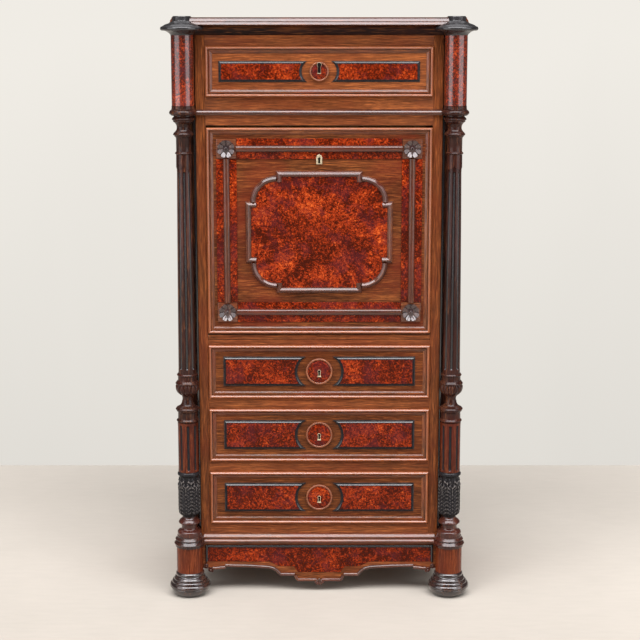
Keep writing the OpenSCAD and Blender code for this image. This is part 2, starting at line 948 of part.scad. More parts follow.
// Cartouche outline: a wide and a tall oblong with a quarter circle in each corner between them
cartouche_arc_r = 66;
cartouche_step = 12;
cartouche_tall_x = cartouche_w - cartouche_step - cartouche_arc_r + 1;
cartouche_wide_z = cartouche_h - cartouche_step - cartouche_arc_r;

module cartouche_outline(inset) {
    square([2 * (cartouche_tall_x - inset), 2 * (cartouche_h - inset)], center = true);
    square([2 * (cartouche_w - inset), 2 * (cartouche_wide_z - inset)], center = true);
    for (side = [-1, 1], end = [-1, 1])
        translate([side * (cartouche_tall_x - 1), end * cartouche_wide_z])
            circle(cartouche_arc_r - inset);
}

// Straight lengths and corner pieces, which meet at the seams
module cartouche_moulding() {
    color("saddlebrown") translate([0, 0, fall_mid_z])
        standing_board(face_y - cartouche_t, cartouche_t - seam)
        difference() {
            cartouche_outline(0);
            cartouche_outline(cartouche_band);
            for (side = [-1, 1]) {
                translate([side * (cartouche_tall_x - cartouche_band - over), 0])
                    square([seam, 2 * cartouche_h + over], center = true);
                translate([0, side * (cartouche_wide_z - cartouche_band - over)])
                    square([2 * cartouche_w + over, seam], center = true);
            }
        }
}

module cartouche_panel() {
    color("firebrick") translate([0, 0, fall_mid_z]) standing_board(face_y - inlay_t, inlay_t - seam)
        cartouche_outline(cartouche_band + seam);
}

// Leather let onto the inner face, inside a margin of wood
module fall_leather() {
    margin = 42;
    lock_margin = 12;
    leather_t = 1.5;
    color("darkgreen") block(
        [-fall_x + margin, fall_in_y + seam, axis_z + margin],
        [fall_x - margin, fall_in_y + leather_t, fall_top - lock_drop - lock_h - lock_margin]
    );
}

module fall_lock() {
    thimble_proud = 3;
    color("goldenrod")
        lock(fall_top, fall_in_y, fall_key_z, face_y - thimble_proud, fall_t + thimble_proud - 5);
}

// Quadrant stays, whose arcs are centred on the pivot axis
module fall_quadrants() {
    start = asin(axis_out / quadrant_r);
    color("goldenrod") pair() {
        translate([quadrant_x - quadrant_t, axis_y, axis_z]) rotate([90, 0, 90])
            rotate([0, 0, 90 - quadrant_angle]) rotate_extrude(angle = quadrant_angle - start - 0.2)
                translate([quadrant_r - quadrant_w / 2, 0]) square([quadrant_w, quadrant_t]);
        block(
            [quadrant_x - quadrant_t, fall_in_y + seam, axis_z + quadrant_r - 20],
            [quadrant_x, fall_in_y + 3, axis_z + quadrant_r + 20]
        );
    }
}

module fall_bolt() {
    color("goldenrod") bolt(fall_top, fall_in_y);
}

// Front board of a drawer, with its lock's recess and key way
module drawer_front(low, height) {
    color("sienna") difference() {
        block([-fall_x, face_y, low], [fall_x, face_y + front_t, low + height]);
        lock_space(low + height, face_y + front_t, slip / 2);
        key_way(face_y, low + height / 2);
    }
}

// Sides, back and bottom of a drawer, glued behind its front
module drawer_box(low, height) {
    box_front = face_y + front_t + seam;
    box_back = box_front + drawer_d;
    box_low = low - front_gap + run_gap;
    box_top = low + height - box_top_drop;
    box_floor = low + floor_rise;
    color("burlywood") {
        pair() block([drawer_box_x - box_t, box_front, box_low], [drawer_box_x, box_back, box_top]);
        block(
            [-drawer_box_x + box_t + seam, box_back - box_t, box_low],
            [drawer_box_x - box_t - seam, box_back, box_top]
        );
        block(
            [-drawer_box_x + box_t + seam, box_front, box_floor],
            [drawer_box_x - box_t - seam, box_back - box_t - seam, box_floor + floor_t]
        );
    }
}

// Burl tablet with a concave end towards the middle, drawn for the right-hand side
module tablet(low, high, out_x, scoop_r) {
    mid = (low + high) / 2;
    standing_board(face_y - tablet_t, tablet_t - seam) difference() {
        translate([scoop_r / 2, low]) square([out_x - scoop_r / 2, high - low]);
        translate([0, mid]) circle(scoop_r);
        translate([0, low - over]) square([scoop_r * 0.68, high - low + 2 * over]);
    }
}

// Edge moulding, two burl tablets and the turned roundel of a drawer
module drawer_trim(low, height, tablet_gap, roundel_gap) {
    mid = low + height / 2;
    roundel_r = height / 2 - edge_w - roundel_gap;
    tablet_low = low + edge_w + tablet_gap;
    tablet_high = low + height - edge_w - tablet_gap;
    out_x = fall_x - edge_w - tablet_side_gap;
    scoop_r = roundel_r + tablet_scoop_gap;
    color("peru") edge_frame(fall_x, low, low + height, face_y);
    color("firebrick") pair() tablet(tablet_low, tablet_high, out_x, scoop_r);
    color("sienna") translate([0, face_y - seam, mid]) rotate([90, 0, 0]) difference() {
        union() {
            cylinder(r = roundel_r, h = roundel_rim_t);
            cylinder(r = roundel_r - roundel_rim, h = roundel_t);
        }
        translate([0, 0, -over]) cylinder(r = keyhole_r, h = roundel_t + 2 * over);
    }
}

module drawer_lock(low, height) {
    thimble_front = face_y - roundel_t - over;
    thimble_t = front_t - lock_t + roundel_t;
    color("goldenrod")
        lock(low + height, face_y + front_t, low + height / 2, thimble_front, thimble_t);
}

// Small drawer with its front, box and turned knob
small_x = case_x / small_count * 2;
small_back_gap = 39;
small_d = panel_y - case_y - small_back_gap;
small_wall = 7;
small_rim_drop = 6;
small_floor_rise = 1;
small_floor_t = 4;
knob_r = 7;
knob_t = 6;
knob_stem = 8;

module small_drawer(index) {
    left = -case_x + index * small_x;
    low_x = left + (index == 0 ? seam : case_t / 2) + slip / 2;
    high_x = left + small_x - (index == small_count - 1 ? seam : case_t / 2) - slip / 2;
    low = floor_z + slip / 2;
    high = small_shelf_z - slip / 2;
    rim = high - small_rim_drop;
    front_back = case_y + small_wall;
    back = case_y + small_d;
    in_low_x = low_x + small_wall + seam;
    in_high_x = high_x - small_wall - seam;
    floor_low = low + small_floor_rise;
    color("burlywood") {
        block([low_x, case_y, low], [high_x, front_back, high]);
        for (x = [low_x, high_x - small_wall])
            block([x, front_back + seam, low], [x + small_wall, back, rim]);
        block([in_low_x, back - small_wall, low], [in_high_x, back, rim]);
        block(
            [in_low_x, front_back + seam, floor_low],
            [in_high_x, back - small_wall - seam, floor_low + small_floor_t]
        );
        translate([(low_x + high_x) / 2, case_y, (low + high) / 2]) rotate([90, 0, 0]) {
            cylinder(r = knob_r * 0.45, h = knob_stem + over);
            translate([0, 0, knob_stem]) cylinder(r = knob_r, h = knob_t);
        }
    }
}

module frieze_drawer_front() { drawer_front(frieze_front_z, frieze_front_h); }
module frieze_drawer_box() { drawer_box(frieze_front_z, frieze_front_h); }
module frieze_drawer_trim() {
    drawer_trim(frieze_front_z, frieze_front_h, frieze_tablet_gap, frieze_roundel_gap);
}
module frieze_drawer_lock() { drawer_lock(frieze_front_z, frieze_front_h); }
module frieze_drawer_bolt() {
    color("goldenrod") bolt(frieze_front_z + frieze_front_h, face_y + front_t);
}

// One long drawer's piece, counted from the top
module long_front(i) { drawer_front(long_front_z[i], long_front_h); }
module long_box(i) { drawer_box(long_front_z[i], long_front_h); }
module long_trim(i) {
    drawer_trim(long_front_z[i], long_front_h, long_tablet_gap, long_roundel_gap);
}
module long_lock(i) { drawer_lock(long_front_z[i], long_front_h); }
module long_bolt(i) { color("goldenrod") bolt(long_front_z[i] + long_front_h, face_y + front_t); }

left_side();
right_side();
back_panel();
bottom_board();
top_board();
cornice();
cornice_caps();
front_posts();
front_rails();
waist_moulding();
upper_drums();
column_shafts();
gadroon_cups();
lower_drums();
leaf_vases();
pedestals();
bun_feet();
rear_feet();
base_moulding();
apron();
apron_inlay();
dust_boards();
drawer_guides();
desk_floor();
pigeonhole_case();
pivot_plates();
fall_board();
fall_edge_moulding();
fall_burl_bands();
fall_rods();
fall_corner_blocks();
cartouche_moulding();
cartouche_panel();
fall_leather();
fall_lock();
fall_quadrants();
fall_bolt();
frieze_drawer_front();
frieze_drawer_box();
frieze_drawer_trim();
frieze_drawer_lock();
frieze_drawer_bolt();
long_front(0);  // drawer_1_front
long_box(0);  // drawer_1_box
long_trim(0);  // drawer_1_trim
long_lock(0);  // drawer_1_lock
long_bolt(0);  // drawer_1_bolt
long_front(1);  // drawer_2_front
long_box(1);  // drawer_2_box
long_trim(1);  // drawer_2_trim
long_lock(1);  // drawer_2_lock
long_bolt(1);  // drawer_2_bolt
long_front(2);  // drawer_3_front
long_box(2);  // drawer_3_box
long_trim(2);  // drawer_3_trim
long_lock(2);  // drawer_3_lock
long_bolt(2);  // drawer_3_bolt
small_drawer(0);  // small_drawer_left
small_drawer(1);  // small_drawer_middle
small_drawer(2);  // small_drawer_right
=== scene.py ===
"""Drop-front secretary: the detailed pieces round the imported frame, their finishes and the stage.

Shapes are worked out in millimetres and scaled to metres as each piece is made. The front faces
-Y, and a height is measured from the floor.
"""

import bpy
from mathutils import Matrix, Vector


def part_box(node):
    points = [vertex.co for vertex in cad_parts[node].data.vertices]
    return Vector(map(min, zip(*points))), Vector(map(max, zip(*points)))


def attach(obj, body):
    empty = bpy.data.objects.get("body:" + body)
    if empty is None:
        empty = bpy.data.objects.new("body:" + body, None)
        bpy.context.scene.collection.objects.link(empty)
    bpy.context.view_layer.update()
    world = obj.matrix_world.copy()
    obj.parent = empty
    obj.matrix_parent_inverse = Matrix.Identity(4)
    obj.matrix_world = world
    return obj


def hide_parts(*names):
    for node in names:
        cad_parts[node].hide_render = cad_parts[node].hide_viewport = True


bl_info = {
    "name": "Drop-Front Secretary",
    "version": (1, 0, 0),
    "blender": (4, 5, 0),
    "location": "3D View > Sidebar > Secretary",
    "description": "Builds a drop-front secretary with turned, carved and veneered pieces",
    "category": "Object",
}

import math
import random

import bmesh
import bpy
from bpy.props import FloatProperty, FloatVectorProperty, IntProperty, PointerProperty
from mathutils import Matrix, Vector

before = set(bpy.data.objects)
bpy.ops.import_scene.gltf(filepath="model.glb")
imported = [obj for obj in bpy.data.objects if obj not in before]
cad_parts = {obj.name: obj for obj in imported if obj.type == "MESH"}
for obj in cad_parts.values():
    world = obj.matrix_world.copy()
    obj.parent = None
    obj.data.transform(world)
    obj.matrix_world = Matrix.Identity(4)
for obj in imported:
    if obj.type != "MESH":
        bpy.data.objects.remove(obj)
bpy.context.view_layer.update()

MM = 0.001


def node_box(node):
    """Lowest and highest corners of a node of the frame, in millimetres."""
    low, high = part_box(node)
    return Vector(low) / MM, Vector(high) / MM


# Places that the frame gives, in millimetres
FACE_Y = node_box("fall_board")[0].y
BACK_Y = node_box("back_panel")[1].y
SIDE_LOW, SIDE_HIGH = node_box("right_side")
PEDESTAL_LOW, PEDESTAL_HIGH = node_box("pedestals")
PEDESTAL_R = (PEDESTAL_HIGH.y - PEDESTAL_LOW.y) / 2
COLUMN_X = PEDESTAL_HIGH.x - PEDESTAL_R
COLUMN_Y = PEDESTAL_HIGH.y - PEDESTAL_R
WAIST_LOW, WAIST_HIGH = node_box("waist_moulding")
WAIST_Z = (WAIST_LOW.z + WAIST_HIGH.z) / 2
BODY_Z = node_box("base_moulding")[1].z
BASE_Z = node_box("apron")[1].z
CORNICE_LOW, CORNICE_HIGH = node_box("cornice")

# Half the width of the front between the columns' recesses, and the recesses' back
FRONT_X = 310
RECESS_DEPTH = 45
RECESS_Y = FACE_Y + RECESS_DEPTH

# Faces that meet at less than this angle are shaded as one
SMOOTH_ANGLE = math.radians(35)
# Edges of the frame's solids get eased where they are longer and sharper than this
EASED_LENGTH = 6
EASED_ANGLE = math.radians(40)
# How far apart along the grain the lengths of one moulding lie
GRAIN_GAP = 1370.0
# Share of a frame moulding's width that its outer bead takes up
BEAD_SHARE = 0.385

# How far the upper drums reach into the coves of the column caps
DRUM_RISE = 7
# Height of the apron's lower edge near its ends
APRON_EDGE = 67
# Half the side of the fall's corner blocks
HALF_BLOCK = 25
# How far the ornaments of the long drawers sit above the middle of their fronts
RAISED = 1.8

# The cartouche: its middle, half its size, and the radius, the step and the width of its moulding
CARTOUCHE_LOW, CARTOUCHE_HIGH = node_box("cartouche_moulding")
CARTOUCHE_Z = (CARTOUCHE_LOW.z + CARTOUCHE_HIGH.z) / 2
CARTOUCHE_W = CARTOUCHE_HIGH.x
CARTOUCHE_H = (CARTOUCHE_HIGH.z - CARTOUCHE_LOW.z) / 2
CARTOUCHE_ARC = 66
CARTOUCHE_STEP = 12
CARTOUCHE_BAND = 15
# Where its straight lengths end
CARTOUCHE_TOP_X = CARTOUCHE_W - CARTOUCHE_STEP - CARTOUCHE_ARC
CARTOUCHE_SIDE_Z = CARTOUCHE_H - CARTOUCHE_STEP - CARTOUCHE_ARC

DRAWERS = ["frieze_drawer", "drawer_1", "drawer_2", "drawer_3"]
OUTWARD = Vector((0, -1, 0))
UP = Vector((0, 0, 1))
# Lays the axis of a turned solid along the way out of the front
FACING_OUT = Matrix.Rotation(math.pi / 2, 4, "X")


# Settings

def length_setting(name, description, default, low=0.0, high=20.0):
    """A setting that holds a length."""
    return FloatProperty(
        name=name, description=description, default=default, min=low, max=high, unit="LENGTH"
    )


def count_setting(name, description, default, low, high):
    """A setting that holds a number of things."""
    return IntProperty(name=name, description=description, default=default, min=low, max=high)


def angle_setting(name, description, degrees):
    """A setting that holds an angle."""
    return FloatProperty(
        name=name, description=description, default=math.radians(degrees), subtype="ANGLE"
    )


def power_setting(name, description, default):
    """A setting that holds a lamp's power."""
    return FloatProperty(name=name, description=description, default=default, unit="POWER")


def colour_setting(name, description, default):
    """A setting that holds a colour."""
    return FloatVectorProperty(
        name=name, description=description, default=default, subtype="COLOR", size=3, min=0, max=1
    )


class ColumnSettings(bpy.types.PropertyGroup):
    """Carving of the two corner columns."""

    flutes: count_setting("Flutes", "Hollows round each shaft and each lower drum", 8, 4, 16)
    flute_share: FloatProperty(
        name="Flute width", description="Share of the way round that the flutes take up",
        default=0.5, min=0.2, max=0.9, subtype="FACTOR",
    )
    flute_depth: length_setting("Flute depth", "Depth of the shaft's flutes", 0.0042, 0.001, 0.006)
    gadroons: count_setting("Gadroons", "Lobes round each cup", 12, 8, 24)
    leaves: count_setting("Leaves", "Large leaves round each vase", 6, 3, 8)
    leaf_relief: length_setting(
        "Leaf relief", "How far the leaves stand off the vase", 0.0026, 0.001, 0.004
    )
    turn: angle_setting("Turn", "Turn of the carving towards the middle of the front", 5)


class FrontSettings(bpy.types.PropertyGroup):
    """Mouldings and carving of the fall and the drawers."""

    frame_width: length_setting(
        "Frame width", "Width of the mouldings round the fall and the drawers", 0.0175, 0.012, 0.024
    )
    frame_height: length_setting(
        "Frame height", "How far those mouldings stand off the front", 0.009, 0.004, 0.012
    )
    cartouche_height: length_setting(
        "Cartouche height", "How far the cartouche moulding stands off the fall", 0.009, 0.004, 0.012
    )
    petals: count_setting("Petals", "Petals of each rosette", 8, 5, 12)
    tablet_bevel: length_setting(
        "Tablet bevel", "Width of the black bevel round the burl tablets", 0.0065, 0.003, 0.010
    )


class FinishSettings(bpy.types.PropertyGroup):
    """Main colours of the finishes, in the order that make_finish reads them."""

    walnut: colour_setting("Walnut", "Mid tone of the carcass wood", (0.236, 0.069, 0.022))
    moulding: colour_setting("Moulding", "Mid tone of the moulding wood", (0.270, 0.082, 0.030))
    dark: colour_setting("Dark wood", "Mid tone of the shafts and the cornice", (0.036, 0.013, 0.010))
    burl: colour_setting("Burl", "Bright tone of the burl veneer", (0.335, 0.033, 0.006))
    ebony: colour_setting("Ebonised wood", "Tone of the blackened wood", (0.012, 0.011, 0.012))
    inner: colour_setting("Inner wood", "Mid tone of the drawer linings and the back", (0.40, 0.22, 0.10))
    brass: colour_setting("Brass", "Tone of the locks and stays", (0.770, 0.660, 0.450))
    leather: colour_setting("Leather", "Tone of the writing leather", (0.035, 0.070, 0.030))


class StageSettings(bpy.types.PropertyGroup):
    """Floor, backdrop, camera and lamps."""

    floor: colour_setting("Floor", "Colour of the floor", (0.435, 0.398, 0.345))
    backdrop: colour_setting("Backdrop", "Colour of the wall behind", (0.830, 0.800, 0.745))
    wall_distance: length_setting(
        "Wall distance", "Distance of the backdrop behind the middle of the object", 0.991
    )
    focal_length: FloatProperty(
        name="Focal length", description="Focal length of the camera's lens",
        default=85.5, unit="CAMERA",
    )
    eye_height: length_setting("Eye height", "Height of the camera", 1.5)
    camera_distance: length_setting(
        "Camera distance", "Distance of the camera in front of the middle", 3.980
    )
    camera_tilt: angle_setting("Camera tilt", "How far the camera looks down", 10.036)
    top_lamp: power_setting("Top lamp", "Power of the wide lamp above the front", 1420)
    side_lamp: power_setting("Side lamps", "Power of each lamp at the sides", 50)
    ceiling_lamp: power_setting("Ceiling lamp", "Power of the very wide, faint lamp overhead", 920)
    surround: FloatProperty(
        name="Surround", description="Strength of the light that comes from all round",
        default=0.10, min=0,
    )


def in_mm(length):
    """A setting's length in millimetres."""
    return length / MM


# Material nodes

def plug(tree, node, inputs):
    """Links or sets inputs of a node by name or number."""
    for key, value in inputs.items():
        if isinstance(value, bpy.types.NodeSocket):
            tree.links.new(value, node.inputs[key])
        else:
            node.inputs[key].default_value = value


def add_node(tree, kind, inputs=None, **settings):
    """A node of a tree, with its inputs linked or set."""
    made = tree.nodes.new(kind)
    for name, value in settings.items():
        setattr(made, name, value)
    plug(tree, made, inputs or {})
    return made


def maths(tree, operation, first, second=0.0, third=0.0, clamp=False):
    """Result of a Math node."""
    return add_node(
        tree, "ShaderNodeMath", {0: first, 1: second, 2: third}, operation=operation, use_clamp=clamp
    ).outputs[0]


def times(tree, first, second):
    """Product of two numbers."""
    return maths(tree, "MULTIPLY", first, second)


def vectors(tree, operation, first, second=(0, 0, 0)):
    """Vector result of a Vector Math node."""
    return add_node(
        tree, "ShaderNodeVectorMath", {0: first, 1: second}, operation=operation
    ).outputs["Vector"]


def stretched(tree, vector, factors):
    """A vector multiplied along each axis."""
    return vectors(tree, "MULTIPLY", vector, factors)


def scaled(tree, vector, factor):
    """A vector multiplied by a number."""
    return add_node(
        tree, "ShaderNodeVectorMath", {0: vector, "Scale": factor}, operation="SCALE"
    ).outputs[0]


def length_of(tree, vector):
    """Length of a vector."""
    return add_node(tree, "ShaderNodeVectorMath", {0: vector}, operation="LENGTH").outputs["Value"]


def mixed(tree, factor, first, second):
    """Colour between two colours."""
    return add_node(
        tree, "ShaderNodeMix", {0: factor, 6: first, 7: second}, data_type="RGBA"
    ).outputs[2]


def noise(tree, vector, scale, detail=4.0, roughness=0.55, distortion=0.0, out=0):
    """Fac (0) or Color (1) of a Noise Texture."""
    return add_node(
        tree, "ShaderNodeTexNoise",
        {"Vector": vector, "Scale": scale, "Detail": detail, "Roughness": roughness,
         "Distortion": distortion},
    ).outputs[out]


def graded(tree, factor, stops):
    """Colour at a factor between stops of (place, colour)."""
    ramp = add_node(tree, "ShaderNodeValToRGB", {0: factor})
    elements = ramp.color_ramp.elements
    while len(elements) < len(stops):
        elements.new(0.5)
    for element, (place, colour) in zip(elements, stops):
        element.position = place
        element.color = (*colour, 1)
    return ramp.outputs[0]


def spread(tree, value, low, high, start=0.0, end=1.0):
    """Value spread from its own range to another, and held inside that."""
    return add_node(
        tree, "ShaderNodeMapRange", {0: value, 1: low, 2: high, 3: start, 4: end}
    ).outputs[0]


def object_place(tree):
    """Place on the object, in metres."""
    return add_node(tree, "ShaderNodeTexCoord").outputs["Object"]


def bumped(tree, height, distance, strength=0.5):
    """Normal with small relief from a height."""
    return add_node(
        tree, "ShaderNodeBump", {"Height": height, "Distance": distance, "Strength": strength}
    ).outputs[0]


def tone(colour, factor):
    """A colour made darker or lighter."""
    return tuple(min(1.0, channel * factor) for channel in colour)


def blended(first, second, share):
    """A colour between two others."""
    return tuple(a + (b - a) * share for a, b in zip(first, second))


def new_material(name):
    """An empty material with its shader: (material, tree, shader)."""
    material = bpy.data.materials.new("finished_" + name)
    material.use_nodes = True
    tree = material.node_tree
    tree.nodes.clear()
    shader = add_node(tree, "ShaderNodeBsdfPrincipled")
    add_node(tree, "ShaderNodeOutputMaterial", {0: shader.outputs[0]})
    return material, tree, shader


def edge_wear_and_painted_sheen(tree, colour, worn, hollow_tone, amount):
    """Colour made lighter along sharp edges and darker in the hollows; on the woods and the ebony the lighter
    edges are wear and also a painted sheen that stands in for their highlights.
    """
    point = add_node(tree, "ShaderNodeNewGeometry").outputs["Pointiness"]
    patches = spread(tree, noise(tree, object_place(tree), 45, 4, 0.6), 0.40, 0.62)
    # Lighter on sharp edges, in patches: wear, and a painted sheen
    rubbed = times(tree, spread(tree, point, 0.57, 0.70), patches)
    hollow = spread(tree, point, 0.47, 0.38)
    colour = mixed(tree, times(tree, hollow, amount), colour, (*hollow_tone, 1))
    return mixed(tree, times(tree, rubbed, amount), colour, (*worn, 1))


def wood(name, mid, contrast, polish, wear_and_sheen_share, red_share, gloss, coat):
    """Straight-grained wood that follows the grain attribute."""
    material, tree, shader = new_material(name)
    grain = add_node(tree, "ShaderNodeAttribute", attribute_name="grain").outputs["Vector"]
    bend = vectors(tree, "SUBTRACT", noise(tree, grain, 3.2, 2, out=1), (0.5, 0.5, 0.5))
    bent = vectors(tree, "ADD", grain, stretched(tree, bend, (0.0, 0.018, 0.018)))
    bands = noise(tree, stretched(tree, bent, (1.5, 36, 36)), 1, 3)
    streaks = noise(tree, stretched(tree, bent, (15, 400, 400)), 1, 5, 0.66)
    fibres = noise(tree, stretched(tree, bent, (30, 720, 720)), 1, 3, 0.62)
    pores = spread(tree, noise(tree, stretched(tree, bent, (60, 1500, 1500)), 1, 1), 0.60, 0.70)
    value = maths(tree, "MULTIPLY_ADD", bands, 0.24, times(tree, streaks, 0.44))
    value = maths(tree, "MULTIPLY_ADD", fibres, 0.32, value)
    light = blended(tone(mid, 1 + 0.85 * contrast), (0.50, 0.17, 0.030), 0.24 * contrast)
    colour = graded(tree, value, [
        (0.42, tone(mid, 1 - 0.74 * contrast)), (0.475, tone(mid, 1 - 0.38 * contrast)),
        (0.525, mid), (0.59, light),
    ])
    if red_share:
        cloud = spread(tree, noise(tree, grain, 7, 3), 0.42, 0.66)
        colour = mixed(tree, times(tree, cloud, red_share), colour, (0.16, 0.022, 0.010, 1))
    colour = mixed(tree, times(tree, pores, 0.55), colour, (*tone(mid, 0.16), 1))
    # Tone of the sharp edges: wear, and a painted sheen; the hollows go darker
    worn = blended(tone(mid, 2.6), (0.55, 0.24, 0.10), 0.45 if mid[0] > 0.1 else 0.10)
    relief = maths(tree, "SUBTRACT", times(tree, streaks, 0.4), pores)
    plug(tree, shader, {
        "Base Color": edge_wear_and_painted_sheen(tree, colour, worn, tone(mid, 0.10), wear_and_sheen_share),
        "Roughness": spread(tree, streaks, 0.3, 0.7, polish + 0.06, polish - 0.03),
        "Specular IOR Level": gloss, "Coat Weight": coat, "Coat Roughness": 0.10,
        "Normal": bumped(tree, relief, 0.00003 if coat > 0.2 else 0.00010),
    })
    return material


def burl(name, bright, shade, polish, flame_z, gloss, coat):
    """Burl veneer: small eyes in warped clouds, with rays from the middle where flame_z is given."""
    material, tree, shader = new_material(name)
    place = object_place(tree)
    swirl = vectors(tree, "SUBTRACT", noise(tree, place, 42, 3, 0.6, out=1), (0.5, 0.5, 0.5))
    warped = vectors(tree, "ADD", place, stretched(tree, swirl, (0.012, 0.012, 0.012)))
    curls = noise(tree, warped, 250, 4, 0.62, 0.9)
    mottle = noise(tree, warped, 120, 4, 0.6, 0.6)
    eyes = add_node(
        tree, "ShaderNodeTexVoronoi", {"Vector": warped, "Scale": 190, "Randomness": 1.0},
        feature="SMOOTH_F1",
    ).outputs["Distance"]
    clouds = noise(tree, place, 15, 4, 0.55, 0.5)
    value = maths(tree, "MULTIPLY_ADD", curls, 0.72, times(tree, mottle, 0.28))
    value = maths(tree, "MULTIPLY_ADD", eyes, -0.10, value)
    value = maths(tree, "ADD", value, times(tree, maths(tree, "SUBTRACT", clouds, 0.5), 0.34))
    value = maths(tree, "ADD", value, shade)
    if flame_z is not None:
        from_middle = vectors(tree, "SUBTRACT", place, (0, 0, flame_z * MM))
        flat = stretched(tree, from_middle, (1, 0, 1.15))
        reach = length_of(tree, flat)
        ray_place = vectors(
            tree, "ADD", stretched(tree, vectors(tree, "NORMALIZE", flat), (9, 9, 9)),
            add_node(tree, "ShaderNodeCombineXYZ", {1: times(tree, reach, 11)}).outputs[0],
        )
        rays = maths(tree, "SUBTRACT", noise(tree, ray_place, 1, 4, 0.6), 0.5)
        outer = spread(tree, reach, 0.02, 0.12)
        value = maths(tree, "MULTIPLY_ADD", times(tree, rays, outer), 0.40, value)
    colour = graded(tree, value, [
        (0.38, tone(bright, 0.13)), (0.43, tone(bright, 0.30)), (0.48, tone(bright, 0.66)),
        (0.54, bright), (0.64, blended(tone(bright, 1.5), (0.80, 0.22, 0.035), 0.40)),
    ])
    purple = times(tree, spread(tree, noise(tree, place, 22, 3, 0.6), 0.50, 0.64), 0.45)
    plug(tree, shader, {
        "Base Color": mixed(tree, purple, colour, (0.085, 0.012, 0.016, 1)),
        "Roughness": spread(tree, curls, 0.3, 0.7, polish + 0.08, polish - 0.04),
        "Specular IOR Level": gloss, "Coat Weight": coat, "Coat Roughness": 0.16,
        "Normal": bumped(tree, curls, 0.00010),
    })
    return material


def ebonised(name, colour, rubbed, coat):
    """Blackened wood, paler on its edges and, where rubbed is over 0, in patches."""
    material, tree, shader = new_material(name)
    place = object_place(tree)
    fine = noise(tree, stretched(tree, place, (400, 400, 90)), 1, 4, 0.6)
    base = graded(tree, fine, [(0.3, tone(colour, 0.6)), (0.7, tone(colour, 1.9))])
    base = edge_wear_and_painted_sheen(tree, base, (0.30, 0.240, 0.215), tone(colour, 0.3), 0.25)
    if rubbed:
        patches = spread(tree, noise(tree, place, 130, 4, 0.6), 0.36, 0.50)
        base = mixed(tree, times(tree, patches, rubbed), base, (0.30, 0.265, 0.245, 1))
    plug(tree, shader, {
        "Base Color": base, "Roughness": spread(tree, fine, 0.3, 0.7, 0.27, 0.18),
        "Specular IOR Level": 0.14 + 0.8 * coat, "Coat Weight": coat, "Coat Roughness": 0.10,
        "Normal": bumped(tree, fine, 0.00002),
    })
    return material


def painted_shade_black(name):
    """Near-black that paints the shade inside the keyholes and in the gap under the fall's frame."""
    material, tree, shader = new_material(name)
    # Faint mottling of the painted black
    dust = noise(tree, object_place(tree), 900, 2)
    plug(tree, shader, {
        "Base Color": graded(tree, dust, [(0.3, (0.002, 0.002, 0.002)), (0.8, (0.012, 0.009, 0.007))]),
        "Roughness": 0.9, "Specular IOR Level": 0.1,
    })
    return material


def aged_brass(name, colour):
    """Brass with darker patches and fine scratches."""
    material, tree, shader = new_material(name)
    place = object_place(tree)
    patches = noise(tree, place, 160, 5, 0.65)
    scratches = noise(tree, stretched(tree, place, (300, 300, 3000)), 1, 3)
    base = graded(tree, patches, [(0.30, tone(colour, 0.30)), (0.52, colour), (0.75, tone(colour, 1.2))])
    rough = spread(tree, patches, 0.3, 0.7, 0.36, 0.20)
    plug(tree, shader, {
        "Base Color": edge_wear_and_painted_sheen(tree, base, tone(colour, 1.35), tone(colour, 0.15), 0.8),
        "Metallic": 0.7, "Roughness": maths(tree, "MULTIPLY_ADD", scratches, 0.14, rough),
        "Normal": bumped(tree, scratches, 0.00008),
    })
    return material


def writing_leather(name, colour):
    """Old green leather, darker in the creases of its grain."""
    material, tree, shader = new_material(name)
    place = object_place(tree)
    cells = add_node(
        tree, "ShaderNodeTexVoronoi", {"Vector": place, "Scale": 620}, feature="DISTANCE_TO_EDGE"
    ).outputs["Distance"]
    fades = noise(tree, place, 9, 4, 0.6)
    base = graded(tree, fades, [(0.3, tone(colour, 0.7)), (0.55, colour), (0.75, tone(colour, 1.9))])
    creases = spread(tree, cells, 0.0, 0.14)
    plug(tree, shader, {
        "Base Color": mixed(tree, creases, (*tone(colour, 0.45), 1), base),
        "Roughness": spread(tree, fades, 0.3, 0.7, 0.62, 0.45),
        "Normal": bumped(tree, creases, 0.0002, 0.6),
    })
    return material


def gold_tooling(name, colour):
    """Worn gold leaf."""
    material, tree, shader = new_material(name)
    worn = spread(tree, noise(tree, object_place(tree), 260, 4, 0.7), 0.45, 0.62)
    plug(tree, shader, {
        "Base Color": mixed(tree, worn, (*tone(colour, 1.3), 1), (0.08, 0.06, 0.03, 1)),
        "Metallic": spread(tree, worn, 0, 1, 0.95, 0.3), "Roughness": spread(tree, worn, 0, 1, 0.32, 0.6),
    })
    return material


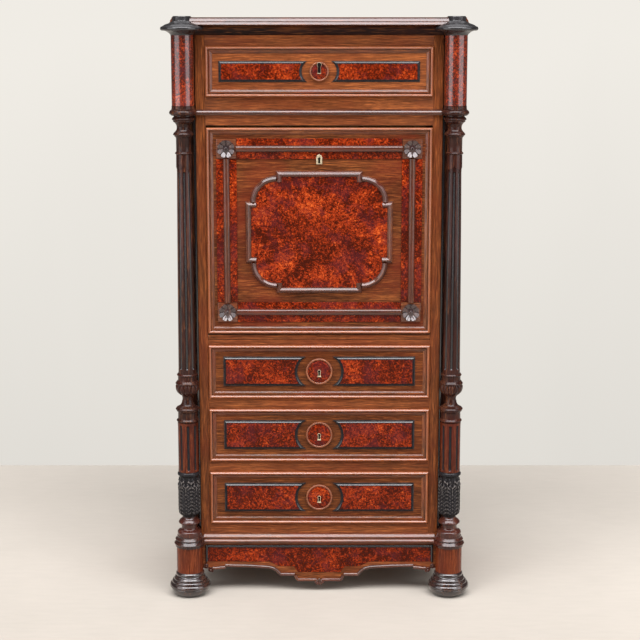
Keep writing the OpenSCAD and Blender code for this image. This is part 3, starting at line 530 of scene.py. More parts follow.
def make_finish(name):
    """Makes the material of that name from the colour settings."""
    colours = bpy.context.scene.secretary_finishes
    walnut, moulding, dark, bright, ebony, inner, brass, leather = (
        tuple(getattr(colours, colour)) for colour in FinishSettings.__annotations__
    )
    # Mid tone, contrast, roughness, share of edge wear and painted sheen, share of red clouds, gloss and coat
    woods = {
        "walnut": (walnut, 0.80, 0.26, 0.4, 0.30, 0.12, 0.0),
        "post_walnut": (tone(walnut, 0.78), 0.80, 0.26, 0.4, 0.35, 0.12, 0.0),
        "field_walnut": (tone(walnut, 0.56), 0.85, 0.26, 0.3, 0.20, 0.10, 0.0),
        "fall_walnut": (tone(blended(walnut, dark, 0.2), 0.66), 1.0, 0.26, 0.3, 0.6, 0.1, 0.0),
        # The frames' outer bead: lighter wood, as wear and as a painted highlight
        "bead_wood": (tone(moulding, 1.22), 0.4, 0.20, 0.1, 0.1, 0.35, 0.6),
        "rim_red": (tone(moulding, 0.85), 0.5, 0.20, 0.2, 0.3, 0.4, 0.4),
        "moulding_wood": (tone(walnut, 0.56), 0.8, 0.20, 0.08, 0.40, 0.28, 0.26),
        "red_wood": (blended(dark, moulding, 0.42), 0.7, 0.18, 0.2, 0.4, 0.36, 0.32),
        "rod_wood": (blended(dark, moulding, 0.16), 0.7, 0.14, 0.10, 0.4, 0.30, 0.62),
        "petal_wood": ((0.050, 0.030, 0.030), 0.6, 0.20, 0.2, 0.1, 0.42, 0.8),
        "turned_wood": (blended(dark, ebony, 0.1), 0.6, 0.17, 0.25, 0.2, 0.32, 0.36),
        "cornice_wood": (blended(dark, moulding, 0.20), 0.8, 0.20, 0.15, 0.2, 0.42, 0.6),
        "side_rod_wood": (blended(dark, moulding, 0.20), 0.7, 0.20, 0.1, 0.4, 0.3, 0.2),
        "dark_wood": (tone(dark, 0.9), 0.8, 0.16, 0.12, 0.12, 0.13, 0.17),
        "cap_wood": (blended(dark, ebony, 0.5), 0.6, 0.18, 0.2, 0.0, 0.6, 0.9),
        # Near-black wood that paints the shade in the cornice's cove and in the recesses behind the columns
        "cove_wood": (tone(dark, 0.45), 0.8, 0.35, 0.4, 0.1, 0.1, 0.0),
        "inner_wood": (inner, 0.6, 0.50, 0.3, 0.0, 0.25, 0.05),
        "back_wood": (tone(inner, 0.55), 0.8, 0.60, 0.4, 0.0, 0.25, 0.05),
        "pedestal_wood": ((0.125, 0.024, 0.008), 0.6, 0.20, 0.3, 0.3, 0.14, 0.08),
        "drum_wood": ((0.070, 0.013, 0.006), 0.7, 0.20, 0.3, 0.3, 0.14, 0.08),
    }
    # Bright tone, shade, roughness, height of the middle of the rays, gloss and coat
    burls = {
        "burl": (bright, -0.035, 0.24, None, 0.12, 0.0),
        "burl_tablet": (tone(bright, 0.94), -0.015, 0.24, None, 0.12, 0.0),
        "burl_cartouche": (bright, -0.01, 0.24, CARTOUCHE_Z, 0.12, 0.0),
        "burl_drum": (tone(bright, 0.9), -0.015, 0.22, None, 0.5, 0.9),
    }
    # Share of rubbed patches, and coat
    ebonies = {
        # The worn ebony is also the painted highlight on the vases' ridges
        "ebonised": (0.0, 0.0), "worn_ebony": (0.45, 0.0), "glossy_ebony": (0.0, 0.4),
        "recess_ebony": (0.0, 0.9),
    }
    if name in woods:
        return wood(name, *woods[name])
    if name in burls:
        return burl(name, *burls[name])
    if name in ebonies:
        return ebonised(name, ebony, *ebonies[name])
    if name == "hole":
        return painted_shade_black(name)
    if name == "leather":
        return writing_leather(name, leather)
    return {"brass": aged_brass, "gold": gold_tooling}[name](name, brass)


def finish(name):
    """The material of that name, made the first time that it is asked for."""
    return bpy.data.materials.get("finished_" + name) or make_finish(name)


# Outlines, as lists of (across, up) points in millimetres

def arc(across, up, radius, start, end, steps=8):
    """Points of an arc round a centre, between two angles in degrees."""
    angles = [math.radians(start + (end - start) * i / steps) for i in range(steps + 1)]
    return [(across + radius * math.cos(a), up + radius * math.sin(a)) for a in angles]


def bead(reach, low, high):
    """Half-round whose face stands out to reach, between two heights."""
    radius = (high - low) / 2
    return arc(reach - radius, low + radius, radius, -90, 90)


def lit_ring(reach, low, high, lean=0.72):
    """Points of a turned ring: round below, sloped above so that it catches the light."""
    middle = low + (high - low) * 0.38
    r = middle - low
    return [
        *arc(reach - r, middle, r, -80, 0, 4),
        *swept((reach, middle + 0.3), (reach - (high - middle) * lean, high), 0.03, 4),
    ]


def swept(start, end, bulge, steps=6):
    """Shallow curve between two points, bulging to the right of its way by a share of its length."""
    (x0, y0), (x1, y1) = start, end
    dx, dy = x1 - x0, y1 - y0
    return [
        (x0 + dx * t + dy * bulge * 4 * t * (1 - t), y0 + dy * t - dx * bulge * 4 * t * (1 - t))
        for t in (i / steps for i in range(steps + 1))
    ]


def lifted(points, up):
    """Points moved up."""
    return [(across, height + up) for across, height in points]


def mirrored(half):
    """A closed outline from the points of its right-hand half."""
    return [*half, *[(-x, z) for x, z in reversed(half) if x > 0]]


def bump(reach):
    """A smooth bump: 1 in the middle, near 0 from 2 on."""
    return math.exp(-(reach ** 2))


# Meshes in millimetres

def face_outward(bm):
    """Turns every face of a mesh right side out."""
    bmesh.ops.recalc_face_normals(bm, faces=bm.faces)


def islands(bm):
    """Lists of connected vertices, in the order that the mesh holds them."""
    bm.verts.index_update()
    seen = set()
    found = []
    for first in bm.verts:
        if first in seen:
            continue
        seen.add(first)
        group, waiting = [], [first]
        while waiting:
            vertex = waiting.pop()
            group.append(vertex)
            for edge in vertex.link_edges:
                other = edge.other_vert(vertex)
                if other not in seen:
                    seen.add(other)
                    waiting.append(other)
        found.append(group)
    return found


def close_islands(bm):
    """Merges doubles inside each connected part and fills its open ends."""
    for group in islands(bm):
        bmesh.ops.remove_doubles(bm, verts=group, dist=0.001)
    rims = [edge for edge in bm.edges if edge.is_boundary]
    if rims:
        bmesh.ops.holes_fill(bm, edges=rims, sides=0)
    face_outward(bm)


def circle(bm, radius, height, around):
    """Vertices round the Z axis, at a radius and a height."""
    angles = [math.tau * i / around for i in range(around)]
    return [bm.verts.new((radius * math.cos(a), radius * math.sin(a), height)) for a in angles]


def add_turned(bm, outline, place=(0, 0, 0), around=96, turn=None):
    """Adds a turned solid from (radius, height) points; turn is a matrix that lays it over."""
    rings = [
        [bm.verts.new((0, 0, height))] if radius < 0.001 else circle(bm, radius, height, around)
        for radius, height in outline
    ]
    for lower, upper in zip(rings, rings[1:]):
        for i in range(around):
            j = (i + 1) % around
            corners = [
                lower[i % len(lower)], lower[j % len(lower)], upper[j % len(upper)], upper[i % len(upper)],
            ]
            face = list(dict.fromkeys(corners))
            if len(face) > 2:
                bm.faces.new(face)
    for ring, height in ((rings[0], outline[0][1]), (rings[-1], outline[-1][1])):
        if len(ring) > 1:
            middle = bm.verts.new((0, 0, height))
            for i in range(around):
                bm.faces.new((ring[i], ring[(i + 1) % around], middle))
    vertices = {vertex for ring in rings for vertex in ring}
    vertices |= {other for vertex in vertices for edge in vertex.link_edges for other in edge.verts}
    matrix = Matrix.Translation(place) @ (turn or Matrix())
    bmesh.ops.transform(bm, matrix=matrix, verts=list(vertices))


def add_block(bm, low, high, ease=0.0):
    """Adds a box between two corners, with its edges eased."""
    low, high = Vector(low), Vector(high)
    made = bmesh.ops.create_cube(bm, size=1)["verts"]
    size = high - low
    bmesh.ops.transform(
        bm, matrix=Matrix.Translation((low + high) / 2) @ Matrix.Diagonal((*size, 1)), verts=made
    )
    if ease:
        edges = list({edge for vertex in made for edge in vertex.link_edges})
        bmesh.ops.bevel(bm, geom=edges, offset=ease, segments=2, profile=0.5, affect="EDGES")


def add_side_block(bm, side, across, depth, height, ease=0.0):
    """Adds a box on one side, -1 or 1, from its two ends across, in depth and in height."""
    left, right = sorted(side * x for x in across)
    add_block(bm, (left, depth[0], height[0]), (right, depth[1], height[1]), ease)


def close_loops(bm, rings):
    """Joins rings of vertices with faces, and the last ring to the first."""
    for first, second in zip(rings, rings[1:] + rings[:1]):
        for i in range(len(first)):
            j = (i + 1) % len(first)
            bm.faces.new((first[i], first[j], second[j], second[i]))


def add_plate(bm, outline, front, depth):
    """Adds an upright plate whose outline is drawn in X and Z, from its front back by its depth."""
    near = [bm.verts.new((x, front, z)) for x, z in outline]
    far = [bm.verts.new((x, front + depth, z)) for x, z in outline]
    bm.faces.new(near)
    bm.faces.new(far[::-1])
    count = len(outline)
    for i in range(count):
        j = (i + 1) % count
        bm.faces.new((near[j], near[i], far[i], far[j]))


def add_mesh(bm, mesh, matrix):
    """Adds a mesh, moved by a matrix, and turns it right side out if the matrix mirrors it."""
    start = len(bm.verts)
    face_start = len(bm.faces)
    bm.from_mesh(mesh)
    bm.verts.ensure_lookup_table()
    bmesh.ops.transform(bm, matrix=matrix, verts=bm.verts[start:])
    if matrix.determinant() < 0:
        bm.faces.ensure_lookup_table()
        bmesh.ops.reverse_faces(bm, faces=bm.faces[face_start:])


def from_mesh(mesh):
    """An editable copy of a mesh, which is used up."""
    bm = bmesh.new()
    bm.from_mesh(mesh)
    bpy.data.meshes.remove(mesh)
    return bm


def cad_solid(node, ease=0.8):
    """A merged copy of a node of the frame in millimetres, with its long edges eased."""
    bm = bmesh.new()
    bm.from_mesh(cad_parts[node].data)
    bmesh.ops.scale(bm, vec=(1 / MM,) * 3, verts=bm.verts)
    bmesh.ops.remove_doubles(bm, verts=bm.verts, dist=0.01)
    bmesh.ops.dissolve_limit(
        bm, angle_limit=math.radians(1), verts=bm.verts, edges=bm.edges, use_dissolve_boundaries=False
    )
    if ease:
        sharp = [
            edge for edge in bm.edges
            if edge.is_manifold and edge.calc_length() > EASED_LENGTH
            and abs(edge.calc_face_angle(0)) > EASED_ANGLE
        ]
        bmesh.ops.bevel(bm, geom=sharp, offset=ease, segments=2, profile=0.5, affect="EDGES")
    return bm


def mark_grain(bm, name, along=None):
    """Stores the grain of each separate part: X runs along its longest side, or along an axis."""
    layer = bm.verts.layers.float_vector.get("grain") or bm.verts.layers.float_vector.new("grain")
    chance = random.Random(name)
    for group in islands(bm):
        size = [
            max(vertex.co[axis] for vertex in group) - min(vertex.co[axis] for vertex in group)
            for axis in range(3)
        ]
        axis = "XYZ".index(along) if along else size.index(max(size))
        offset = Vector((chance.uniform(0, 9), chance.uniform(0, 9), chance.uniform(0, 9)))
        for vertex in group:
            co = vertex.co * MM
            vertex[layer] = offset + Vector((co[axis], co[(axis + 1) % 3], co[(axis + 2) % 3]))


def piece(name, bm, materials, body, nodes, along=None, grain=True):
    """Makes the finished object of a piece from its mesh, riding on a body in place of its nodes."""
    if grain:
        mark_grain(bm, name, along)
    bmesh.ops.scale(bm, vec=(MM,) * 3, verts=bm.verts)
    mesh = bpy.data.meshes.new(name)
    bm.to_mesh(mesh)
    bm.free()
    for material in materials.split():
        mesh.materials.append(finish(material))
    mesh.shade_smooth()
    mesh.set_sharp_from_angle(angle=SMOOTH_ANGLE)
    made = bpy.data.objects.new(name, mesh)
    bpy.context.scene.collection.objects.link(made)
    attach(made, body)
    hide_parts(*nodes)


def cad_piece(name, node, ease, material, body, along=None):
    """A piece that is a node of the frame with its edges eased."""
    piece(name, cad_solid(node, ease), material, body, [node], along)


# Geometry Nodes

def new_tree(name, inputs):
    """A node group with a geometry input and the given ones: (tree, group input node)."""
    tree = bpy.data.node_groups.new(name, "GeometryNodeTree")
    face = tree.interface
    face.new_socket("Geometry", in_out="INPUT", socket_type="NodeSocketGeometry")
    for label, kind, default in inputs:
        socket = face.new_socket(label, in_out="INPUT", socket_type="NodeSocket" + kind)
        if default is not None:
            socket.default_value = default
    face.new_socket("Geometry", in_out="OUTPUT", socket_type="NodeSocketGeometry")
    return tree, add_node(tree, "NodeGroupInput").outputs


def end_tree(tree, geometry, material):
    """Ends a tree in Realize Instances and Set Material."""
    real = add_node(tree, "GeometryNodeRealizeInstances", {0: geometry}).outputs[0]
    painted = add_node(tree, "GeometryNodeSetMaterial", {"Geometry": real, "Material": material})
    add_node(tree, "NodeGroupOutput", {0: painted.outputs[0]})


def sampled(tree, geometry, value, index, kind="FLOAT_VECTOR"):
    """Value at one vertex of a geometry."""
    return add_node(
        tree, "GeometryNodeSampleIndex", {"Geometry": geometry, "Value": value, "Index": index},
        data_type=kind, domain="POINT",
    ).outputs[0]


def attribute(tree, name, kind="FLOAT_VECTOR"):
    """A named attribute as a field."""
    return add_node(
        tree, "GeometryNodeInputNamedAttribute", {"Name": name}, data_type=kind
    ).outputs["Attribute"]


def shape_of(tree, drawn):
    """Geometry of an object that a tree is given."""
    return add_node(tree, "GeometryNodeObjectInfo", {"Object": drawn}).outputs["Geometry"]


def stored(tree, geometry, name, value, kind):
    """Geometry with a field stored under a name."""
    return add_node(
        tree, "GeometryNodeStoreNamedAttribute", {"Geometry": geometry, "Name": name, "Value": value},
        data_type=kind, domain="POINT",
    ).outputs[0]


def ring_tree():
    """Copies of a motif turned round each point of the host."""
    tree, given = new_tree("Ring of carvings", [
        ("Motif", "Object", None), ("Count", "Int", 8), ("Start", "Float", 0.0),
        ("Sweep", "Float", math.tau), ("Facing", "Rotation", None), ("Material", "Material", None),
    ])
    motif = shape_of(tree, given["Motif"])
    line = add_node(
        tree, "GeometryNodeMeshLine", {"Count": given["Count"], "Offset": (0, 0, 0)}
    ).outputs[0]
    index = add_node(tree, "GeometryNodeInputIndex").outputs[0]
    step = maths(tree, "DIVIDE", given["Sweep"], given["Count"])
    angle = maths(tree, "MULTIPLY_ADD", index, step, given["Start"])
    spin = add_node(tree, "ShaderNodeCombineXYZ", {2: angle}).outputs[0]
    ring = add_node(
        tree, "GeometryNodeInstanceOnPoints", {"Points": line, "Instance": motif, "Rotation": spin}
    ).outputs[0]
    placed = add_node(
        tree, "GeometryNodeInstanceOnPoints",
        {"Points": given["Geometry"], "Instance": ring, "Rotation": given["Facing"]},
    ).outputs[0]
    end_tree(tree, placed, given["Material"])
    return tree


def moulding_tree():
    """A profile drawn along the host's vertices, which hold the way to the side and the run."""
    tree, given = new_tree("Moulding along a path", [
        ("Profile", "Object", None), ("Rise", "Vector", (0, 0, 1)), ("Material", "Material", None),
    ])
    host = given["Geometry"]
    profile = shape_of(tree, given["Profile"])
    counts = [
        add_node(tree, "GeometryNodeAttributeDomainSize", {0: shape}).outputs["Point Count"]
        for shape in (host, profile)
    ]
    grid = add_node(
        tree, "GeometryNodeMeshGrid", {"Vertices X": counts[0], "Vertices Y": counts[1]}
    ).outputs[0]
    index = add_node(tree, "GeometryNodeInputIndex").outputs[0]
    row = maths(tree, "FLOOR", maths(tree, "DIVIDE", maths(tree, "ADD", index, 0.5), counts[1]))
    column = maths(tree, "SUBTRACT", index, times(tree, row, counts[1]))
    position = add_node(tree, "GeometryNodeInputPosition").outputs[0]
    point = add_node(
        tree, "ShaderNodeSeparateXYZ", {0: sampled(tree, profile, position, column)}
    ).outputs
    side = scaled(tree, sampled(tree, host, attribute(tree, "side"), row), point[0])
    rise = scaled(tree, given["Rise"], point[1])
    base = sampled(tree, host, position, row)
    target = vectors(tree, "ADD", vectors(tree, "ADD", base, side), rise)
    run = sampled(tree, host, attribute(tree, "run", "FLOAT"), row, "FLOAT")
    along = add_node(tree, "ShaderNodeCombineXYZ", {0: run, 1: point[0], 2: point[1]}).outputs[0]
    marked = stored(tree, grid, "grain", stretched(tree, along, (MM, MM, MM)), "FLOAT_VECTOR")
    shaped = add_node(
        tree, "GeometryNodeSetPosition", {"Geometry": marked, "Position": target}
    ).outputs[0]
    spans = maths(tree, "SUBTRACT", counts[1], 1)
    face_row = maths(tree, "FLOOR", maths(tree, "DIVIDE", maths(tree, "ADD", index, 0.5), spans))
    last = sampled(tree, host, attribute(tree, "last", "BOOLEAN"), face_row, "BOOLEAN")
    lengths = add_node(
        tree, "GeometryNodeDeleteGeometry", {"Geometry": shaped, "Selection": last}, domain="FACE"
    ).outputs[0]
    end_tree(tree, lengths, given["Material"])
    return tree


def flute_tree():
    """Hollows with rounded ends, cut round a turned blank that stands on the Z axis."""
    tree, given = new_tree("Flutes", [
        ("Count", "Int", 8), ("Share", "Float", 0.5), ("Depth", "Float", 4.0),
        ("Low", "Float", 0.0), ("High", "Float", 100.0), ("Turn", "Float", 0.0),
        ("Material", "Material", None), ("Flute material", "Material", None),
    ])
    position = add_node(tree, "GeometryNodeInputPosition").outputs[0]
    x, y, z = add_node(tree, "ShaderNodeSeparateXYZ", {0: position}).outputs
    radial = stretched(tree, position, (1, 1, 0))
    radius = length_of(tree, radial)
    angle = maths(tree, "SUBTRACT", maths(tree, "ARCTAN2", y, x), given["Turn"])
    turns = times(tree, angle, maths(tree, "DIVIDE", given["Count"], math.tau))
    phase = maths(tree, "SUBTRACT", turns, maths(tree, "ROUND", turns))
    across = maths(tree, "DIVIDE", times(tree, phase, 2), given["Share"])
    pitch = maths(tree, "DIVIDE", times(tree, radius, math.pi), given["Count"])
    half = times(tree, pitch, given["Share"])
    above = maths(tree, "SUBTRACT", z, maths(tree, "SUBTRACT", given["High"], half))
    below = maths(tree, "SUBTRACT", maths(tree, "ADD", given["Low"], half), z)
    past = maths(tree, "MAXIMUM", maths(tree, "MAXIMUM", above, below), 0)
    over = maths(tree, "DIVIDE", past, half)
    squares = maths(tree, "MULTIPLY_ADD", across, across, times(tree, over, over))
    hollow = maths(tree, "MAXIMUM", maths(tree, "SUBTRACT", 1, squares), 0)
    cut = times(tree, maths(tree, "SQRT", hollow), given["Depth"])
    inward = scaled(tree, vectors(tree, "NORMALIZE", radial), times(tree, cut, -1))
    inside = maths(tree, "GREATER_THAN", hollow, 0.02)
    marked = stored(tree, given["Geometry"], "flute", inside, "FLOAT")
    carved = add_node(tree, "GeometryNodeSetPosition", {"Geometry": marked, "Offset": inward}).outputs[0]
    real = add_node(tree, "GeometryNodeRealizeInstances", {0: carved}).outputs[0]
    painted = add_node(
        tree, "GeometryNodeSetMaterial", {"Geometry": real, "Material": given["Material"]}
    ).outputs[0]
    deep = maths(tree, "GREATER_THAN", attribute(tree, "flute", "FLOAT"), 0.6)
    both = add_node(
        tree, "GeometryNodeSetMaterial",
        {"Geometry": painted, "Selection": deep, "Material": given["Flute material"]},
    ).outputs[0]
    add_node(tree, "NodeGroupOutput", {0: both})
    return tree


TREES = {"ring": ring_tree, "moulding": moulding_tree, "flutes": flute_tree}


def helper_object(name, bm):
    """A linked object that only helps to make a piece."""
    mesh = bpy.data.meshes.new(name)
    bm.to_mesh(mesh)
    bm.free()
    made = bpy.data.objects.new(name, mesh)
    bpy.context.scene.collection.objects.link(made)
    return made


def discard(made):
    """Removes a helper and its mesh."""
    mesh = made.data
    bpy.data.objects.remove(made)
    bpy.data.meshes.remove(mesh)


def grown(kind, host, inputs):
    """The plain mesh that a tree makes from a host object, which is used up."""
    tree = bpy.data.node_groups.get(kind)
    if tree is None:
        tree = TREES[kind]()
        tree.name = kind
    modifier = host.modifiers.new(kind, "NODES")
    modifier.node_group = tree
    for socket in tree.interface.items_tree:
        if socket.in_out == "INPUT" and socket.name in inputs:
            modifier[socket.identifier] = inputs[socket.name]
    graph = bpy.context.evaluated_depsgraph_get()
    mesh = bpy.data.meshes.new_from_object(host.evaluated_get(graph))
    host.modifiers.remove(modifier)
    discard(host)
    return mesh


def moulding(lengths, profile, rise, material):
    """Closed lengths of moulding; each length is a list of (place, way to the side)."""
    bead_to = bpy.context.scene.secretary_front.frame_width * BEAD_SHARE
    path = bmesh.new()
    side_layer = path.verts.layers.float_vector.new("side")
    run_layer = path.verts.layers.float.new("run")
    last_layer = path.verts.layers.bool.new("last")
    run = 0.0
    for length in lengths:
        before = None
        for place, side in length:
            vertex = path.verts.new(place)
            run += (vertex.co - before.co).length if before else GRAIN_GAP
            vertex[side_layer] = Vector(side)
            vertex[run_layer] = run
            before = vertex
        before[last_layer] = True
    shape = bmesh.new()
    for across, up in [*profile, profile[0]]:
        shape.verts.new((across, up, 0))
    host, drawn = helper_object("path", path), helper_object("profile", shape)
    inputs = {"Profile": drawn, "Rise": tuple(rise), "Material": finish(material)}
    mesh = grown("moulding", host, inputs)
    discard(drawn)
    bm = from_mesh(mesh)
    close_islands(bm)
    # The outer bead takes a lighter wood: wear, and a painted highlight
    if material == "moulding_wood":
        grain = bm.verts.layers.float_vector["grain"]
        for face in bm.faces:
            middle = sum(vertex[grain].y for vertex in face.verts) / len(face.verts)
            face.material_index = 1 if middle < bead_to else 0
    return bm


def moulded(name, lengths, profile, rise, material, body, node):
    """A piece that is one moulding; where it is of moulding wood, its outer bead takes a lighter wood, which
    is wear and a painted highlight.
    """
    materials = "moulding_wood bead_wood" if material == "moulding_wood" else material
    piece(name, moulding(lengths, profile, rise, material), materials, body, [node], grain=False)


def ring_of(motif, centres, count, start, material, facing=(0, 0, 0), sweep=math.tau):
    """Copies of a motif round each centre."""
    points = bmesh.new()
    for centre in centres:
        points.verts.new(centre)
    host, shape = helper_object("centres", points), helper_object("motif", motif)
    inputs = {
        "Motif": shape, "Count": count, "Start": start, "Sweep": sweep, "Facing": facing,
        "Material": finish(material),
    }
    mesh = grown("ring", host, inputs)
    discard(shape)
    return mesh


def relief(rows, columns, place):
    """A closed carving: place(u, v) gives a point of its face, and its back is filled."""
    bm = bmesh.new()
    grid = [
        [bm.verts.new(place(2 * i / columns - 1, j / rows)) for i in range(columns + 1)]
        for j in range(rows + 1)
    ]
    for lower, upper in zip(grid, grid[1:]):
        for i in range(columns):
            bm.faces.new((lower[i], lower[i + 1], upper[i + 1], upper[i]))
    bmesh.ops.remove_doubles(bm, verts=bm.verts, dist=0.01)
    bmesh.ops.dissolve_degenerate(bm, edges=bm.edges, dist=0.01)
    bmesh.ops.holes_fill(bm, edges=[edge for edge in bm.edges if edge.is_boundary], sides=0)
    face_outward(bm)
    return bm


def polar(radius, angle, height):
    """A place round the Z axis."""
    return (radius * math.cos(angle), radius * math.sin(angle), height)


def on_columns(bm, mesh):
    """Adds a mesh that is drawn round the Z axis to both column axes, mirrored, and discards it."""
    right = Matrix.Translation((COLUMN_X, COLUMN_Y, 0))
    left = Matrix.Translation((-COLUMN_X, COLUMN_Y, 0))
    add_mesh(bm, mesh, right @ Matrix.Scale(-1, 4, (1, 0, 0)))
    add_mesh(bm, mesh, left)
    bpy.data.meshes.remove(mesh)


def on_both_axes(bm, outline):
    """Adds a turned outline on both column axes."""
    for side in (-1, 1):
        add_turned(bm, outline, (side * COLUMN_X, COLUMN_Y, 0))


def turned_pair(name, outline, material, node):
    """A piece that is the same turned outline on both column axes."""
    bm = bmesh.new()
    on_both_axes(bm, outline)
    piece(name, bm, material, "carcass", [node], "Z")


def fluted(bm, outline, around, low, high, share, depth, material, flute_material):
    """Adds a turned outline with flutes cut round it to both column axes."""
    settings = bpy.context.scene.secretary_columns
    blank = bmesh.new()
    add_turned(blank, outline, (0, 0, 0), around)
    face_outward(blank)
    inputs = {
        "Count": settings.flutes, "Share": share, "Depth": depth, "Low": low, "High": high,
        "Turn": -math.pi / 2, "Material": finish(material), "Flute material": finish(flute_material),
    }
    mesh = grown("flutes", helper_object("blank", blank), inputs)
    mesh.transform(Matrix.Rotation(settings.turn, 4, "Z"))
    on_columns(bm, mesh)


# Mouldings that follow the frame

def mitred(low, high, lay):
    """Four mitred lengths just inside a rectangle; lay makes a vector of a place across and up."""
    ends = []
    for i, j in ((0, 0), (1, 0), (1, 1), (0, 1)):
        corner = Vector(lay((low[0], high[0])[i], (low[1], high[1])[j]))
        inward = Vector(lay(1 - 2 * i, 1 - 2 * j)) - Vector(lay(0, 0))
        ends.append((corner, inward))
    return [[ends[i], ends[(i + 1) % 4]] for i in range(4)]


def front_frame(half, low, high):
    """Four mitred lengths round a front, from their outer edges inwards."""
    return mitred((-half, low), (half, high), lambda x, z: (x, FACE_Y, z))


def front_profile(width, height):
    """Section of the frames on the front: an outer bead, a groove, and a slope to the field."""
    ridge = width * 0.19
    fall_off = ridge * 0.76
    shoulder, crest = height - fall_off, height - 0.25
    return [
        (0, 0), (0, shoulder - 0.5), *swept((0.3, shoulder), (ridge - 0.6, crest), 0.03, 3),
        (ridge, height), *swept((ridge + 0.6, crest), (ridge * 2 - 0.3, shoulder), 0.03, 3),
        (ridge * 2, height * 0.30), (ridge * 2.35, height * 0.28), (ridge * 2.5, height * 0.50),
        *swept((ridge * 2.7, height * 0.55), (width - 1.2, 1.0), -0.07, 7), (width - 0.4, 0.8), (width, 0),
    ]


def around_body(low, front_half, side_from, side_x):
    """One length along the front and one along each side, at a height."""
    front = [(Vector((x, FACE_Y, low)), OUTWARD) for x in (-front_half, front_half)]
    sides = [
        [(Vector((side * side_x, y, low)), Vector((side, 0, 0))) for y in (side_from, BACK_Y)]
        for side in (-1, 1)
    ]
    return [front, *sides]


# Operators

class SECRETARY_OT_sides(bpy.types.Operator):
    """Sides of stiles, rails and a sunk panel with a small moulding"""

    bl_idname = "secretary.sides"
    bl_label = "Sides"

    def execute(self, context):
        stile, rail, sink = 60, 60, 4
        low, high = SIDE_LOW, SIDE_HIGH
        field_from, field_to = low.y + stile, high.y - stile
        field_low, field_high = low.z + rail, WAIST_Z - rail
        profile = [(0, 0), (0, 3.2), *swept((1, 3.6), (9, 1.4), -0.18, 5), (11, 1.2), (11, 0)]
        for name, side in (("left_side", -1), ("right_side", 1)):
            bm = bmesh.new()
            for depth, height, sunk, ease in (
                ((low.y, field_from), (low.z, high.z), 0, 0.7), ((field_to, high.y), (low.z, high.z), 0, 0.7),
                ((field_from, field_to), (low.z, field_low), 0, 0.7),
                ((field_from, field_to), (field_high, high.z), 0, 0.7),
                ((field_from, field_to), (field_low, field_high), sink, 0),
            ):
                add_side_block(bm, side, (low.x, high.x - sunk), depth, height, ease)
            piece(name + "_boards", bm, "walnut", "carcass", [name])
            field_x = side * (high.x - sink)
            lengths = mitred((field_from, field_low), (field_to, field_high), lambda y, z: (field_x, y, z))
            moulded(
                name + "_moulding", lengths, profile, (side, 0, 0), "red_wood", "carcass",
                name,
            )
        return {"FINISHED"}


class SECRETARY_OT_back(bpy.types.Operator):
    """Back of upright boards"""

    bl_idname = "secretary.back"
    bl_label = "Back"

    def execute(self, context):
        low, high = node_box("back_panel")
        widths = [0.19, 0.21, 0.18, 0.22, 0.20]
        bm = bmesh.new()
        x = low.x
        for share in widths:
            wide = (high.x - low.x) * share
            add_block(bm, (x, low.y, low.z), (x + wide, high.y, high.z), 1.4)
            x += wide
        piece("back_boards", bm, "back_wood", "carcass", ["back_panel"], along="Z")
        return {"FINISHED"}


class SECRETARY_OT_inside(bpy.types.Operator):
    """Boards inside the carcass, and the case of pigeonholes"""

    bl_idname = "secretary.inside"
    bl_label = "Inside boards"

    def execute(self, context):
        for node, material, slot in (
            ("bottom_board", "inner_wood", "inner_wood"), ("top_board", "walnut", "walnut"),
            ("dust_boards", "inner_wood", "inner_wood"), ("drawer_guides", "inner_wood", "inner_wood"),
            ("desk_floor", "walnut", "walnut"), ("pigeonhole_case", "inner_wood", "inner_wood"),
        ):
            cad_piece(node + "_wood", node, 0.5, material, "carcass")
        return {"FINISHED"}


class SECRETARY_OT_front(bpy.types.Operator):
    """Posts and rails of the front"""

    bl_idname = "secretary.front"
    bl_label = "Posts and rails"

    def execute(self, context):
        bm = cad_solid("front_posts", 0.8)
        # Faces in the recesses behind the columns take near-black wood: painted shade
        for face in bm.faces:
            if abs(face.calc_center_median().x) > FRONT_X - 0.5:
                face.material_index = 1
        low, high = node_box("front_posts")
        strip_in, strip_deep, strip_wide = 8, 7, 7
        strips = bmesh.new()
        for side in (-1, 1):
            across = (FRONT_X + 0.1, FRONT_X + strip_wide)
            depth = (FACE_Y + strip_in, FACE_Y + strip_in + strip_deep)
            add_side_block(strips, side, across, depth, (low.z, high.z), 2.0)
        face_outward(strips)
        piece("posts", bm, "post_walnut cove_wood", "carcass", ["front_posts"], "Z")
        piece("recess_strips", strips, "recess_ebony", "carcass", ["front_posts"], "Z")
        bm = cad_solid("front_rails", 0.4)
        fall_top = node_box("fall_edge_moulding")[1].z
        # The rail above the fall starts higher, so that a gap shows over the fall's frame
        gap = 4.6
        for vertex in bm.verts:
            if 0 < vertex.co.z - fall_top < 2:
                vertex.co.z += gap
        piece("rails", bm, "walnut", "carcass", ["front_rails"], "X")
        return {"FINISHED"}


